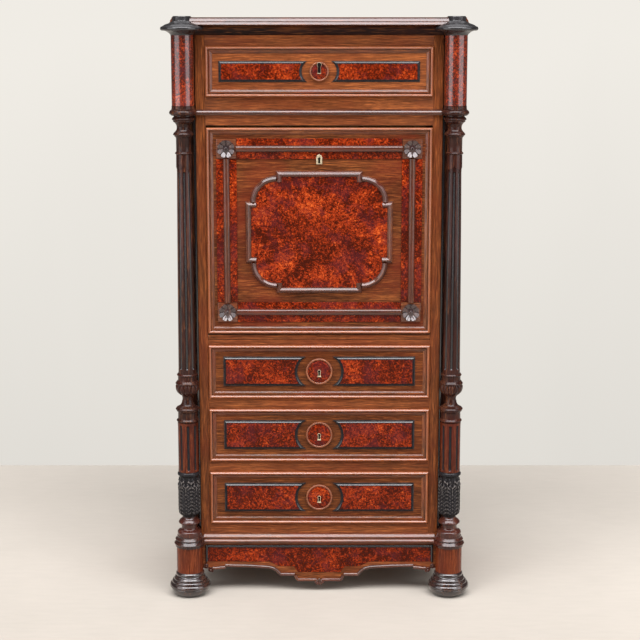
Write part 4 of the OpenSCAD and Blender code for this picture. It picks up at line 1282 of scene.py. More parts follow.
class SECRETARY_OT_mouldings(bpy.types.Operator):
    """Cornice, waist moulding and base moulding"""

    bl_idname = "secretary.mouldings"
    bl_label = "Cornice and mouldings"

    def execute(self, context):
        side_x = SIDE_HIGH.x
        tall = CORNICE_HIGH.z - CORNICE_LOW.z
        out = -(CORNICE_LOW.y - FACE_Y)
        lengths = around_body(CORNICE_LOW.z, COLUMN_X - 12, COLUMN_Y + 12, side_x)
        cove = [
            (0, 0), (3, 0), (3, 2), *swept((4, 2.5), (out - 5, tall - 17.5), -0.22, 8),
            (out - 2.5, tall - 17), (out - 2.5, tall - 16.4), (0, tall - 16.4),
        ]
        steps = [
            (0, tall - 16.5), (out - 1, tall - 16.5), (out, tall - 15.6),
            *swept((out, tall - 15.3), (out - 4.8, tall - 7.9), 0.02, 5), (out - 5.6, tall - 7.6),
            (out - 4.6, tall - 7.2), *swept((out - 4.2, tall - 7), (out - 8.2, tall - 0.2), 0.02, 5),
            (out - 8.8, tall), (out - 8.8, tall + 2.4), (out - 9.4, tall + 3), (0, tall + 3),
        ]
        # The cove under the steps takes near-black wood: painted shade
        for name, profile, material in (("cove", cove, "cove_wood"), ("steps", steps, "cornice_wood")):
            moulded("cornice_" + name, lengths, profile, UP, material, "carcass", "cornice")

        # The top runs on behind the column caps
        corners = bmesh.new()
        top_low, top_high = node_box("top_board")
        for side in (-1, 1):
            depth, height = (FACE_Y + 2, RECESS_Y + 6), (top_low.z + 1, top_high.z + 0.1)
            add_side_block(corners, side, (FRONT_X - 40, side_x - 1), depth, height, 0.3)
        piece("top_corners", corners, "walnut", "carcass", ["top_board"], "X")

        tall = WAIST_HIGH.z - WAIST_LOW.z
        profile = [
            (0, 0), (4, 0), (5, 2), (8.4, 3), *arc(8, 4.8, 1.6, -80, 10, 4),
            *swept((9.5, 6.2), (7.4, 10.0), 0.03, 5), (4.2, 10.4), (3.8, tall), (0, tall),
        ]
        lengths = around_body(WAIST_LOW.z, COLUMN_X - 32, RECESS_Y, side_x)
        moulded(
            "waist_bead", lengths, profile, UP, "cornice_wood", "carcass", "waist_moulding"
        )

        ring_low = node_box("base_moulding")[0].z
        tall = BODY_Z - BASE_Z
        out = 11
        profile = [
            (0, 0), (out - 4, 0), (out - 3.4, 2), (out - 0.8, 3), *arc(out - 2.2, 5.4, 2.2, -60, 15, 5),
            *swept((out - 0.1, 6.2), (out - 3.6, 10.4), 0.02, 5), (out - 6.2, 11.4), (out - 6.2, tall / 2),
            (out - 6.2, tall / 2 + 1), (out - 3.2, tall / 2 + 1.8), (out - 2.8, tall / 2 + 3.4),
            *swept((out - 3.0, tall / 2 + 3.8), (out - 8.8, tall - 3.4), 0.02, 5), (1.4, tall - 3), (0, tall),
        ]
        ring = [
            (0, ring_low), (PEDESTAL_R + 2.5, ring_low), (PEDESTAL_R + 3, ring_low + 2),
            *lifted(lit_ring(40.5, 2, tall / 2 - 0.5, 0.85), BASE_Z), (34.5, BASE_Z + tall / 2),
            *lifted(lit_ring(37.5, tall / 2 + 0.8, tall - 5, 0.85), BASE_Z),
            (32.5, BODY_Z - 4), (32, BODY_Z), (0, BODY_Z),
        ]
        turned_pair("base_rings", ring, "turned_wood", "base_moulding")
        lengths = around_body(BASE_Z, COLUMN_X - 37, RECESS_Y, side_x)
        moulded("base_bead", lengths, profile, UP, "red_wood", "carcass", "base_moulding")

        post_back = SIDE_LOW.y
        height = (BASE_Z, BODY_Z - 0.1)
        bm = bmesh.new()
        add_block(bm, (-FRONT_X, FACE_Y, height[0]), (FRONT_X, post_back, height[1]), 0.5)
        for side in (-1, 1):
            add_side_block(bm, side, (FRONT_X, side_x), (RECESS_Y, post_back), height, 0.5)
            add_side_block(bm, side, (SIDE_LOW.x - 40, side_x), (post_back, BACK_Y), height, 0.5)
        piece("base_frame", bm, "walnut", "carcass", ["base_moulding"])
        return {"FINISHED"}


class SECRETARY_OT_column_ends(bpy.types.Operator):
    """Cornice caps, upper drums, pedestals and bun feet"""

    bl_idname = "secretary.column_ends"
    bl_label = "Column caps, drums and feet"

    def execute(self, context):
        low, high = node_box("cornice_caps")
        top, bottom = high.z, low.z + DRUM_RISE
        drum = 28
        turned_pair("column_caps", [
            (0, bottom), (drum + 0.5, bottom), (drum + 1, bottom + 2),
            *swept((drum + 2, bottom + 3), (48, top - 35), -0.10, 8),
            *lifted([
                *arc(48.5, -30.4, 5.3, -75, 75, 9), *swept((48, -24.6), (35, -18.5), 0.06, 5),
                *swept((33.5, -17.8), (25.5, -13), -0.10, 4), (24.5, -12.6), (23.4, -11), (23, -2),
                (22.2, -0.6), (20.8, 0), (0, 0),
            ], top),
        ], "glossy_ebony", "cornice_caps")

        low, high = node_box("upper_drums")
        top = high.z + DRUM_RISE
        outline = [(0, low.z), (drum - 0.6, low.z), (drum, low.z + 0.8), (drum, top), (0, top)]
        turned_pair("column_drums", outline, "burl_drum", "upper_drums")

        low, high = PEDESTAL_LOW.z, PEDESTAL_HIGH.z
        r = PEDESTAL_R
        outline = [(0, low), (r - 0.6, low), (r, low + 0.8), (r, high - 0.8), (r - 0.6, high), (0, high)]
        turned_pair("column_pedestals", outline, "pedestal_wood", "pedestals")

        high = node_box("bun_feet")[1].z
        turned_pair("column_feet", [
            (0, 0), (36, 0), (38, 1.2), *swept((39.5, 2.5), (50.5, 20), 0.12, 6), (50, 21),
            *swept((53.4, 22.5), (49.5, 33), 0.14, 7), (47, 33.6), *swept((48, 34.6), (44.4, 40.6), 0.12, 6),
            (41.6, 41.2), *swept((42.8, 42.2), (40, 47.6), 0.12, 6),
            *swept((39.4, 48.6), (35.2, 55), -0.20, 6),
            (35.4, 55.6), *swept((37.6, 56.6), (34.6, 61.4), 0.12, 5), (34, high), (0, high),
        ], "cap_wood", "bun_feet")

        low, high = node_box("rear_feet")
        size = 58
        foot = [
            (0, 0), (19, 0), (21, 1.5), *swept((23, 6), (23, 50), 0.10, 8), (20, 53),
            *bead(27, 54, 60), (24, 62), (0, 62),
        ]
        bm = bmesh.new()
        for side in (-1, 1):
            across = (high.x, high.x - size)
            add_side_block(bm, side, across, (high.y - size, high.y), (61, high.z), 1.5)
            add_turned(bm, foot, (side * (high.x - size / 2), high.y - size / 2, 0), 64)
        piece("back_feet", bm, "dark_wood", "carcass", ["rear_feet"], "Z")
        return {"FINISHED"}


class SECRETARY_OT_shafts(bpy.types.Operator):
    """Capitals with their tongues, and fluted shafts"""

    bl_idname = "secretary.shafts"
    bl_label = "Fluted shafts"

    def execute(self, context):
        settings = context.scene.secretary_columns
        low, high = node_box("column_shafts")
        foot_r, top_r = 22.5, 17.5
        neck_z = WAIST_Z - 104
        steps = 150
        shaft = [(0, low.z)]
        for i in range(steps + 1):
            share = i / steps
            # The ends get finer rows, so that the flutes' ends are round
            share = share - 0.12 * math.sin(math.tau * share) / math.tau * 4
            swell = 0.5 * math.sin(math.pi * share)
            shaft.append((foot_r + (top_r - foot_r) * share + swell, low.z + (neck_z - low.z) * share))
        shaft.append((0, neck_z))
        bm = bmesh.new()
        depth = in_mm(settings.flute_depth)
        # The flutes' hollows take glossy black, which paints the shade that falls in them
        fluted(
            bm, shaft, 24 * settings.flutes, low.z + 11, neck_z - 44, settings.flute_share, depth,
            "dark_wood", "glossy_ebony",
        )
        capital = [
            *lifted([
                (0, -1), (top_r + 2, -1), *lit_ring(top_r + 4.5, 0, 5.5), (top_r + 1.2, 6.5),
                (top_r + 1.5, 39),
                *swept((top_r + 2, 40), (top_r + 5, 44), -0.2, 4), (top_r + 5, 45),
                *lit_ring(top_r + 8.5, 46.5, 55), (top_r + 3, 56.5), (top_r + 0.5, 60),
                *swept((top_r - 0.5, 62), (top_r + 6.5, 80), -0.16, 8), (top_r + 8, 81), (top_r + 8, 83),
                *lit_ring(top_r + 11, 84.5, 92.5), (top_r + 6, 94), (top_r + 6, 95.5),
            ], neck_z),
            *lifted([
                (30, -7.5), *arc(29, -0.5, 6, -80, 20, 7), *arc(28.6, 1.5, 5, 25, 85, 4), (29.5, 8),
                (28.6, 10),
            ], WAIST_Z),
            (28.6, high.z), (0, high.z),
        ]
        on_both_axes(bm, capital)

        # Four tongues that the collar over the flutes ends in
        sleeve, tongue_from, tongue_round, face_share = 1.7, 26, 12, 0.93
        pitch = math.pi / 4

        def tongue(u, v):
            angle = u * pitch
            tip = neck_z - tongue_from - tongue_round * math.sqrt(max(0, 1 - u * u))
            if v > face_share:
                z, lift = tip, sleeve * (1 - (v - face_share) / (1 - face_share) * 1.6)
            else:
                z, lift = neck_z + (tip - neck_z) * v / face_share, sleeve
            z_share = (z - low.z) / (neck_z - low.z)
            # The sleeve thins out along the tongues' edges
            edge = max(0, (abs(u) - 0.90) / 0.10) * max(0, (neck_z - tongue_from + 2 - z) / 6)
            r = foot_r + (top_r - foot_r) * z_share + lift - min(1, edge) * sleeve
            return polar(r, angle, z)

        mesh = ring_of(relief(26, 20, tongue), [(0, 0, 0)], 4, -math.pi / 2 + pitch, "dark_wood")
        # The tongues take the first of the shafts' two materials
        for face in mesh.polygons:
            face.material_index = 0
        mesh.transform(Matrix.Rotation(settings.turn, 4, "Z"))
        on_columns(bm, mesh)
        piece("shafts", bm, "dark_wood glossy_ebony", "carcass", ["column_shafts"], "Z")
        return {"FINISHED"}


class SECRETARY_OT_cups(bpy.types.Operator):
    """Gadrooned cups under the shafts"""

    bl_idname = "secretary.cups"
    bl_label = "Gadrooned cups"

    def execute(self, context):
        settings = context.scene.secretary_columns
        low, top = (corner.z for corner in node_box("gadroon_cups"))
        core = [
            *lifted([
                (0, 0), (25, 0), (25.5, 1.5), *lit_ring(29, 2.5, 9), (25.5, 9.8), (25.2, 11), (25.2, 27),
                (26.5, 28.5), (28.5, 30), *lit_ring(31, 33, 39.5),
                *swept((26.5, 40.5), (14.5, 56), -0.16, 10),
                (13.2, 60), (13.4, 66), (14.5, 69), *swept((15, 70), (27, 98), 0.14, 8), (27.5, 101),
                (29.6, 101.8), (30.4, 103), *swept((30.3, 103.6), (25.2, 110.4), 0.02, 4), (24.2, 111),
                (24, 112),
            ], low),
            *lifted([(24, -6.5), *lit_ring(26.6, -6.3, -0.5), (24, 0), (0, 0)], top),
        ]
        bm = bmesh.new()
        on_both_axes(bm, core)
        wall = lifted([(14.6, 68), *swept((15.5, 71), (30.2, 94), 0.17, 12), (30.0, 101)], low)

        groove, droop = 4.2, 4.5

        def lobe(u, v):
            place = v * (len(wall) - 1)
            i = min(int(place), len(wall) - 2)
            part = place - i
            r = wall[i][0] + (wall[i + 1][0] - wall[i][0]) * part
            z = wall[i][1] + (wall[i + 1][1] - wall[i][1]) * part
            round_out = math.sqrt(max(0, 1 - u * u))
            z = z - droop * (1 - round_out) * v ** 4
            hollow = groove * (0.35 + 0.65 * v) * (1 - round_out) + (2.4 if v > 0.97 else 0)
            return polar(r - hollow, u * math.pi / settings.gadroons, z)

        mesh = ring_of(
            relief(22, 8, lobe), [(0, 0, 0)], settings.gadroons, settings.turn - math.pi / 2, "dark_wood"
        )
        on_columns(bm, mesh)
        piece("cups", bm, "dark_wood", "carcass", ["gadroon_cups"], "Z")
        return {"FINISHED"}


class SECRETARY_OT_lower_drums(bpy.types.Operator):
    """Burl drums with blackened flutes"""

    bl_idname = "secretary.lower_drums"
    bl_label = "Lower drums"

    def execute(self, context):
        settings = context.scene.secretary_columns
        low, high = node_box("lower_drums")
        r = 26.5
        rows = 70
        outline = [(0, low.z)]
        outline += [(r, low.z + (high.z - low.z) * i / rows) for i in range(rows + 1)]
        outline.append((0, high.z))
        bm = bmesh.new()
        fluted(
            bm, outline, 24 * settings.flutes, low.z + 5, high.z - 6, 0.42, 3.4, "drum_wood", "ebonised"
        )
        for face in bm.faces:
            face.material_index = min(face.material_index, 1)
        piece("fluted_drums", bm, "drum_wood ebonised", "carcass", ["lower_drums"], "Z")
        return {"FINISHED"}


class SECRETARY_OT_vases(bpy.types.Operator):
    """Leaf-carved vases and the rings under them"""

    bl_idname = "secretary.vases"
    bl_label = "Leaf-carved vases"

    def execute(self, context):
        settings = context.scene.secretary_columns
        z0, top = (corner.z for corner in node_box("leaf_vases"))
        body = lifted([
            (20.0, 56), (23.4, 61), (24.6, 70), (24.8, 90), (24.5, 115), (24.2, 140), (24.0, 161),
        ], z0)
        outline = [
            *lifted([
                (0, 0), (31, 0), (31, 2.5), *swept((31, 4), (26, 14.5), 0.25, 8), (23, 16),
                *swept((22.0, 17), (22.0, 29), -0.12, 6), (22.6, 30.5), *lit_ring(28.5, 31.5, 43),
                (22, 44), (18.5, 47), (17.6, 50), *swept((17.8, 52), (20, 56), -0.12, 5),
            ], z0),
            *body[1:], (25, z0 + 161.6), *swept((28.6, z0 + 164), (26.4, top - 1.5), 0.18, 6),
            (26, top), (0, top),
        ]
        bm = bmesh.new()
        on_both_axes(bm, outline)
        for face in bm.faces:
            if face.calc_center_median().z < z0 + 50:
                face.material_index = 2

        def wall(z):
            for (r0, h0), (r1, h1) in zip(body, body[1:]):
                if z <= h1:
                    return r0 + (r1 - r0) * max(0, z - h0) / (h1 - h0)
            return body[-1][0]

        lift = in_mm(settings.leaf_relief)
        foot = z0 + 57
        mean_r, rim_wide = 27, 0.05
        vein_pitch, vein_slope, vein_depth = 9.5, 0.85, 0.85

        def curl(share):
            """How far a leaf bends outwards at that share of its height."""
            return 1.1 * max(0, share - 0.7) / 0.3

        def leaf(u, v, half, high_z, notch, thick):
            crest = high_z - notch * abs(2 * abs(u) - 1) ** 2.2
            z = foot + (crest - foot) * v
            width = half * (0.70 + 0.30 * math.sin(math.pi * min(1, v * 0.60 + 0.15)))
            angle = u * width
            rim = max(abs(u), v) if v > 0.5 else abs(u)
            edge = 1.0 if rim < 1 - rim_wide else 1 - (rim - 1 + rim_wide) / rim_wide * 1.9
            across = abs(angle) * mean_r
            vein = math.cos(math.tau * (z - across * vein_slope) / vein_pitch)
            ribs = vein_depth * vein * min(1, across / 2.5) * min(1, (1 - rim) / 0.12)
            middle = 0.9 * bump(across / 1.1) - 0.8 * bump((across - 2.4) / 1.1)
            border = 0.9 * bump((rim - 0.90) / 0.035)
            r = wall(z) + (thick + ribs + middle + border + curl(v)) * edge
            return polar(r, angle, z)

        pitch = math.pi / settings.leaves
        start = -math.pi / 2 - math.radians(12)
        # What stands out this far beyond the leaf's thickness takes paler, rubbed ebony: wear, and a painted
        # highlight on the ridges
        pale_ridge_from = 0.70
        for half, tip_z, notch, thick, shift in (
            (pitch * 0.97, z0 + 146, 9, lift, 0.0), (pitch * 0.85, z0 + 160, 8, lift * 0.4, pitch),
        ):
            motif = relief(60, 36, lambda u, v: leaf(u, v, half, tip_z, notch, thick))
            mesh = ring_of(motif, [(0, 0, 0)], settings.leaves, start + shift, "ebonised")
            for face in mesh.polygons:
                x, y, z = face.center
                raised = math.hypot(x, y) - wall(z) - curl((z - foot) / (tip_z - foot))
                face.material_index = 1 if raised > thick + pale_ridge_from and z > foot + 4 else 0
            on_columns(bm, mesh)
        piece("vases", bm, "ebonised worn_ebony turned_wood", "carcass", ["leaf_vases"], "Z")
        return {"FINISHED"}


class SECRETARY_OT_apron(bpy.types.Operator):
    """Shaped apron with its scrolls, inlay, edge moulding and carved middle"""

    bl_idname = "secretary.apron"
    bl_label = "Apron"

    def execute(self, context):
        cad_piece("apron_board", "apron", 0.3, "walnut", "carcass", "X")

        inlay = node_box("apron_inlay")[1]
        half = [
            (inlay.x / 2, inlay.z), (inlay.x, inlay.z),
            *lifted([
                (inlay.x, 14), (134, 14), (126, 11.5), (116, 6), (108, 2.5), (98, 1.5), (68, 1), (62, -6),
                (56, -15),
            ], APRON_EDGE),
        ]
        bm = bmesh.new()
        add_plate(bm, mirrored(half), FACE_Y - 0.6, 1.4)
        face_outward(bm)
        piece("apron_burl", bm, "burl", "carcass", ["apron_inlay"])

        edge = mirrored(half)
        count = len(edge)
        lengths, normals = [], []
        for i in range(count):
            (x0, z0), (x1, z1) = edge[i], edge[(i + 1) % count]
            way = Vector((x1 - x0, z1 - z0)).normalized()
            normals.append(Vector((way.y, -way.x)))
        for i in range(count):
            j = (i + 1) % count
            if max(edge[i][1], edge[j][1]) < APRON_EDGE + 16:
                continue
            ends = []
            for corner, before, after in ((i, i - 1, i), (j, i, j)):
                shared = normals[before] + normals[after]
                side = -shared * (1 / max(0.3, shared.dot(normals[i])))
                x, z = edge[corner]
                ends.append((Vector((x, FACE_Y - 0.5, z)), (side.x, 0, side.y)))
            lengths.append(ends)
        profile = [(-3.4, 0), *arc(0, 0.6, 3.2, 175, 5, 10), (3.4, 0)]
        moulded("apron_bead", lengths, profile, OUTWARD, "glossy_ebony", "carcass", "apron_inlay")

        profile = [
            (0, -2), (0, 1.8), *arc(3.4, 2.0, 3.4, 180, 75, 8), (5.4, 4.9), (7.6, 2.7), (8.5, 1), (8.8, -2),
        ]
        lengths = []
        runs = [
            [(282, 60), (274, 58.5), (262, 60.5), (247.5, 61.5)],
            [(247.5, 66.8), (190, 65.5), (134, 62), (123, 59), (117, 55.5), (112, 51), (107, 45.5),
             (102, 41)],
            [(103, 42), (65, 42)],
            [(67, 42), (64.5, 36), (61, 30), (57, 27), (8, 27)],
        ]
        scroll_x, scroll_z, scroll_steps = 287, 59, 33
        for side in (-1, 1):
            for run in runs:
                points = [Vector((side * x, 0, z)) for x, z in run]
                length = []
                for i, point in enumerate(points):
                    following = points[min(i + 1, len(points) - 1)]
                    way = (following - points[max(i - 1, 0)]).normalized()
                    up = Vector((-way.z, 0, way.x)) * math.copysign(1, way.x)
                    length.append((point + OUTWARD * -FACE_Y, -up if up.z < 0 else up))
                lengths.append(length)
            # Scroll at the outer end, wound inwards and thinner as it goes
            centre = Vector((side * scroll_x, FACE_Y, scroll_z))
            coil = []
            for i in range(scroll_steps + 1):
                share = i / scroll_steps
                angle = math.radians(-60 + 15 * i)
                heading = Vector((-side * math.cos(angle), 0, math.sin(angle)))
                coil.append((centre + heading * (9.2 - 5.4 * share), -heading * (0.56 - 0.28 * share)))
            lengths.append(coil)
        bm = moulding(lengths, profile, OUTWARD, "rod_wood")
        knob = [(0, 0), (3.6, 0), (3.6, 5), *arc(0.8, 5.5, 2.8, 0, 90, 5), (0, 8.3)]
        button = [
            (0, 0), (6.6, 0), (6.6, 3.4), *arc(4.9, 3.6, 1.7, 0, 150, 6), (3.2, 3.4), (2.6, 5.6),
            *arc(0.6, 5.6, 2, 0, 90, 4), (0, 7.6),
        ]
        for side in (-1, 1):
            add_turned(bm, knob, (side * scroll_x, FACE_Y, scroll_z), 24, FACING_OUT)
            add_turned(bm, button, (side * 298.5, FACE_Y, 69.5), 32, FACING_OUT)
        piece("apron_edge", bm, "rod_wood", "carcass", ["apron"], grain=False)

        # Small fan of leaves in the middle
        root, long = 3, 13.5

        def frond(u, v):
            reach = root + long * v
            half_width = 0.25 * math.sin(math.pi * (0.18 + 0.74 * v)) + 0.02
            angle = u * half_width
            height = 1.5 + 3.6 * math.sin(math.pi * (0.15 + 0.6 * v)) * (1 - 0.45 * u * u)
            return polar(reach, angle, height if abs(u) < 0.8 and v < 0.93 else -1)

        middle = (0, FACE_Y, 32)
        bm = from_mesh(ring_of(
            relief(12, 8, frond), [middle], 7, math.radians(-180 + 12), "rod_wood",
            facing=(math.pi / 2, 0, 0), sweep=math.radians(180),
        ))
        button = [(0, -1), (4.5, -1), (4.5, 3), *arc(1, 3.5, 3.5, 0, 90, 5), (0, 7)]
        add_turned(bm, button, middle, 32, FACING_OUT)
        face_outward(bm)
        piece("apron_carving", bm, "rod_wood", "carcass", ["apron"], "Z")
        return {"FINISHED"}


def cartouche_quarter(inset):
    """Right-hand upper quarter of the cartouche's outline, from the top down."""
    r = CARTOUCHE_ARC - inset
    start = 90 + math.degrees(math.asin(min(1, inset / r)))
    return [
        (CARTOUCHE_TOP_X - inset, CARTOUCHE_H - inset),
        *arc(CARTOUCHE_TOP_X, CARTOUCHE_SIDE_Z, r, start, 0, 24),
        (CARTOUCHE_W - inset, CARTOUCHE_SIDE_Z),
    ]


class SECRETARY_OT_fall(bpy.types.Operator):
    """Fall board with its leather, frame moulding, burl bands and rods"""

    bl_idname = "secretary.fall"
    bl_label = "Fall front"

    def execute(self, context):
        settings = context.scene.secretary_front
        cad_piece("fall_panel", "fall_board", 0.6, "fall_walnut", "fall", "X")

        low, high = node_box("fall_edge_moulding")
        profile = front_profile(in_mm(settings.frame_width), in_mm(settings.frame_height))
        lengths = front_frame(high.x, low.z, high.z)
        node = "fall_edge_moulding"
        moulded("fall_frame", lengths, profile, OUTWARD, "moulding_wood", "fall", node)

        # A near-black strip under the frame paints the shade of a gap there, and veneer runs from there to
        # the board's foot
        foot = node_box("fall_board")[0].z + 0.3
        line = low.z - 4.4
        for name, out, height, ease, material, slot, node, along in (
            ("fall_line", 0.7, (line, low.z - 0.1), 0.2, "hole", "ebonised", "fall_edge_moulding", None),
            ("fall_foot_veneer", 0.4, (foot, line), 0.1, "walnut", "walnut", "fall_board", "X"),
        ):
            bm = bmesh.new()
            add_block(bm, (-high.x, FACE_Y - out, height[0]), (high.x, FACE_Y - 0.05, height[1]), ease)
            face_outward(bm)
            piece(name, bm, material, "fall", [node], along)
        cad_piece("fall_bands", "fall_burl_bands", 0.4, "burl_tablet", "fall")

        low, high = node_box("fall_corner_blocks")
        x, bottom, top = high.x - HALF_BLOCK, low.z + HALF_BLOCK, high.z - HALF_BLOCK
        rod = 8.6
        front = FACE_Y - 1.9
        half_round = [(across, 0.88 * up) for across, up in arc(0, 0.4, rod - 0.2, 175, 5, 14)]
        profile = [(-rod, 0), *half_round, (rod, 0)]
        reach = HALF_BLOCK + 0.1
        level = [
            [(Vector((end, front, z)), (0, 0, 1)) for end in (-x + reach, x - reach)] for z in (top, bottom)
        ]
        upright = [
            [(Vector((side * x, front, end)), (side, 0, 0)) for end in (bottom + reach, top - reach)]
            for side in (-1, 1)
        ]
        for name, lengths, material in (
            ("fall_beads", level, "rod_wood"), ("fall_upright_beads", upright, "side_rod_wood"),
        ):
            moulded(name, lengths, profile, OUTWARD, material, "fall", "fall_rods")

        low, high = node_box("fall_leather")
        bm = bmesh.new()
        add_block(bm, low, high, 0.5)
        piece("fall_writing_leather", bm, "leather", "fall", ["fall_leather"])
        bm = bmesh.new()
        for margin, wide in ((14, 1.2), (18, 3.5), (24, 1.2)):
            depth = (high.y - 0.1, high.y + 0.12)
            inner_x = high.x - margin - wide
            for side in (-1, 1):
                across = (high.x - margin, inner_x)
                add_side_block(bm, side, across, depth, (low.z + margin, high.z - margin))
            for z in (low.z + margin, high.z - margin - wide):
                add_block(bm, (low.x + margin + wide, depth[0], z), (inner_x, depth[1], z + wide))
        piece("fall_gold_lines", bm, "gold", "fall", ["fall_leather"])
        return {"FINISHED"}


class SECRETARY_OT_rosettes(bpy.types.Operator):
    """Corner blocks of the fall with their rosettes"""

    bl_idname = "secretary.rosettes"
    bl_label = "Rosettes"

    def execute(self, context):
        settings = context.scene.secretary_front
        low, high = node_box("fall_corner_blocks")
        half = HALF_BLOCK
        centres = [
            Vector((side * (high.x - half), FACE_Y, z))
            for side in (-1, 1) for z in (low.z + half, high.z - half)
        ]
        bm = bmesh.new()
        for centre in centres:
            add_block(bm, centre + Vector((-half, -3.8, -half)), centre + Vector((half, -0.1, half)), 1.2)
        piece("rosette_blocks", bm, "red_wood", "fall", ["fall_corner_blocks"])

        bm = bmesh.new()
        dish = [
            (0, 3.6), (21.5, 3.6), (21, 4.4), (6, 4.6), (4.2, 5.0), (4.0, 7.0), *arc(2.4, 7.2, 1.5, 0, 90, 4),
            (1.4, 8.6), (1.2, 5.8), (0, 5.6),
        ]
        for centre in centres:
            add_turned(bm, dish, centre, 48, FACING_OUT)
        pitch = math.pi / settings.petals

        root, long, widest = 4.5, 18.3, 0.62
        foot_y, rise_y, top_y, back_y = 4.3, 8.7, 13.0, 3.8

        def petal(u, v):
            reach = root + long * v
            if v < widest:
                width = pitch * (0.55 + 0.42 * math.sin(math.pi * v / (2 * widest)))
            else:
                width = pitch * 0.97 * math.sqrt(max(0.0, 1 - ((v - widest) / 0.385) ** 2))
            angle = u * width
            rise = foot_y + rise_y * max(0.0, (v - 0.2) / 0.8) ** 1.12
            scoop = -1.3 * u * u * math.sin(math.pi * min(1, v + 0.05)) - 0.5 * bump(u / 0.12) * v
            height = back_y if abs(u) > 0.97 or v > 0.985 else rise + scoop
            return polar(reach, angle, min(height, top_y))

        mesh = ring_of(
            relief(18, 14, petal), centres, settings.petals, pitch, "petal_wood", facing=(math.pi / 2, 0, 0)
        )
        add_mesh(bm, mesh, Matrix())
        bpy.data.meshes.remove(mesh)
        face_outward(bm)
        piece("rosettes", bm, "petal_wood", "fall", ["fall_corner_blocks"], "Z")
        return {"FINISHED"}


class SECRETARY_OT_cartouche(bpy.types.Operator):
    """Shaped moulding and burl panel in the middle of the fall"""

    bl_idname = "secretary.cartouche"
    bl_label = "Cartouche"

    def execute(self, context):
        settings = context.scene.secretary_front
        height = in_mm(settings.cartouche_height)
        band = CARTOUCHE_BAND
        tall_x, wide_z = CARTOUCHE_TOP_X, CARTOUCHE_SIDE_Z
        middle = Vector((0, FACE_Y - 0.1, CARTOUCHE_Z))
        lengths = []

        def add(points):
            lengths.append([
                (middle + Vector((x, 0, z)), Vector((side_x, 0, side_z))) for x, z, side_x, side_z in points
            ])

        for side in (-1, 1):
            add([(-tall_x, side * CARTOUCHE_H, 1, -side), (tall_x, side * CARTOUCHE_H, -1, -side)])
            add([(side * CARTOUCHE_W, -wide_z, -side, 1), (side * CARTOUCHE_W, wide_z, -side, -1)])
            for end in (-1, 1):
                x, z = side * tall_x, end * CARTOUCHE_H
                add([(x, z, -side, -end), (x, z - end * (CARTOUCHE_STEP + band), -side, 0)])
                x, z = side * CARTOUCHE_W, end * wide_z
                add([(x, z, -side, -end), (x - side * (CARTOUCHE_STEP + band), z, 0, -end)])
                r = CARTOUCHE_ARC
                add([
                    (side * (tall_x + r * a), end * (wide_z + r * b), -side * a, -end * b)
                    for a, b in arc(0, 0, 1, 90, 0, 24)
                ])
        half = [
            (0, 0), (0, 1.6), (1.0, 2.4), (1.6, height - 4.6),
            *swept((1.9, height - 4), (5.2, height - 1.4), 0.03, 3), (6.2, height - 0.6),
        ]
        profile = [*half, (band / 2, height), *[(band - across, up) for across, up in reversed(half)]]
        upright = [length for length in lengths if length[0][0].x == length[-1][0].x]
        level = [length for length in lengths if length not in upright]
        for name, part, material in (
            ("cartouche_frame", level, "rod_wood"), ("cartouche_uprights", upright, "side_rod_wood"),
        ):
            moulded(name, part, profile, OUTWARD, material, "fall", "cartouche_moulding")
        quarter = cartouche_quarter(band - 2)
        half = [*quarter, *[(x, -z) for x, z in reversed(quarter)]]
        bm = bmesh.new()
        add_plate(bm, lifted(mirrored(half), CARTOUCHE_Z), FACE_Y - 2, 1.9)
        face_outward(bm)
        piece("cartouche_burl", bm, "burl_cartouche", "fall", ["cartouche_panel"])
        return {"FINISHED"}


def keyhole(radius, slot, drop):
    """Outline of a keyhole about its round part: that radius, half the slot's width, the slot's foot."""
    turn = math.degrees(math.acos(slot / radius))
    return [*arc(0, 0, radius, -turn, 180 + turn, 16), (-slot, -drop), (slot, -drop)]


def crossing(outline, middle, angle):
    """Where a ray from the middle leaves an outline."""
    way = Vector((math.cos(angle), math.sin(angle)))
    reach = 0.0
    for first, second in zip(outline, outline[1:] + outline[:1]):
        start = Vector(first) - middle
        edge = Vector(second) - Vector(first)
        cross = way.x * edge.y - way.y * edge.x
        if abs(cross) < 1e-9:
            continue
        along_ray = (start.x * edge.y - start.y * edge.x) / cross
        along_edge = (start.x * way.y - start.y * way.x) / cross
        if along_ray > 0 and -1e-6 <= along_edge <= 1 + 1e-6:
            reach = max(reach, along_ray)
    return middle + way * reach


def add_escutcheon(brass, black, outline, hole, place, thick):
    """Adds a brass plate with a keyhole to one mesh, and to another a near-black plate behind the hole that
    paints the shade inside it.
    """
    middle = Vector((0, sum(z for x, z in hole[-2:]) / 4))
    angles = sorted({round(math.atan2(z - middle.y, x), 4) for x, z in [*outline, *hole]})
    outer = [crossing(outline, middle, angle) for angle in angles]
    inner = [crossing(hole, middle, angle) for angle in angles]
    eased = [a + (b - a) * 0.18 for a, b in zip(outer, inner)]
    x, front, z = place
    rings = [
        [brass.verts.new((x + point.x, front + y, z + point.y)) for point in points]
        for points, y in ((outer, 0), (outer, -thick + 0.4), (eased, -thick), (inner, -thick), (inner, 0.2))
    ]
    close_loops(brass, rings)
    shade = [a + (b - a) * 0.5 for a, b in zip(inner, outer)]
    add_plate(black, [(x + point.x, z + point.y) for point in shade], front - 0.35, 0.5)


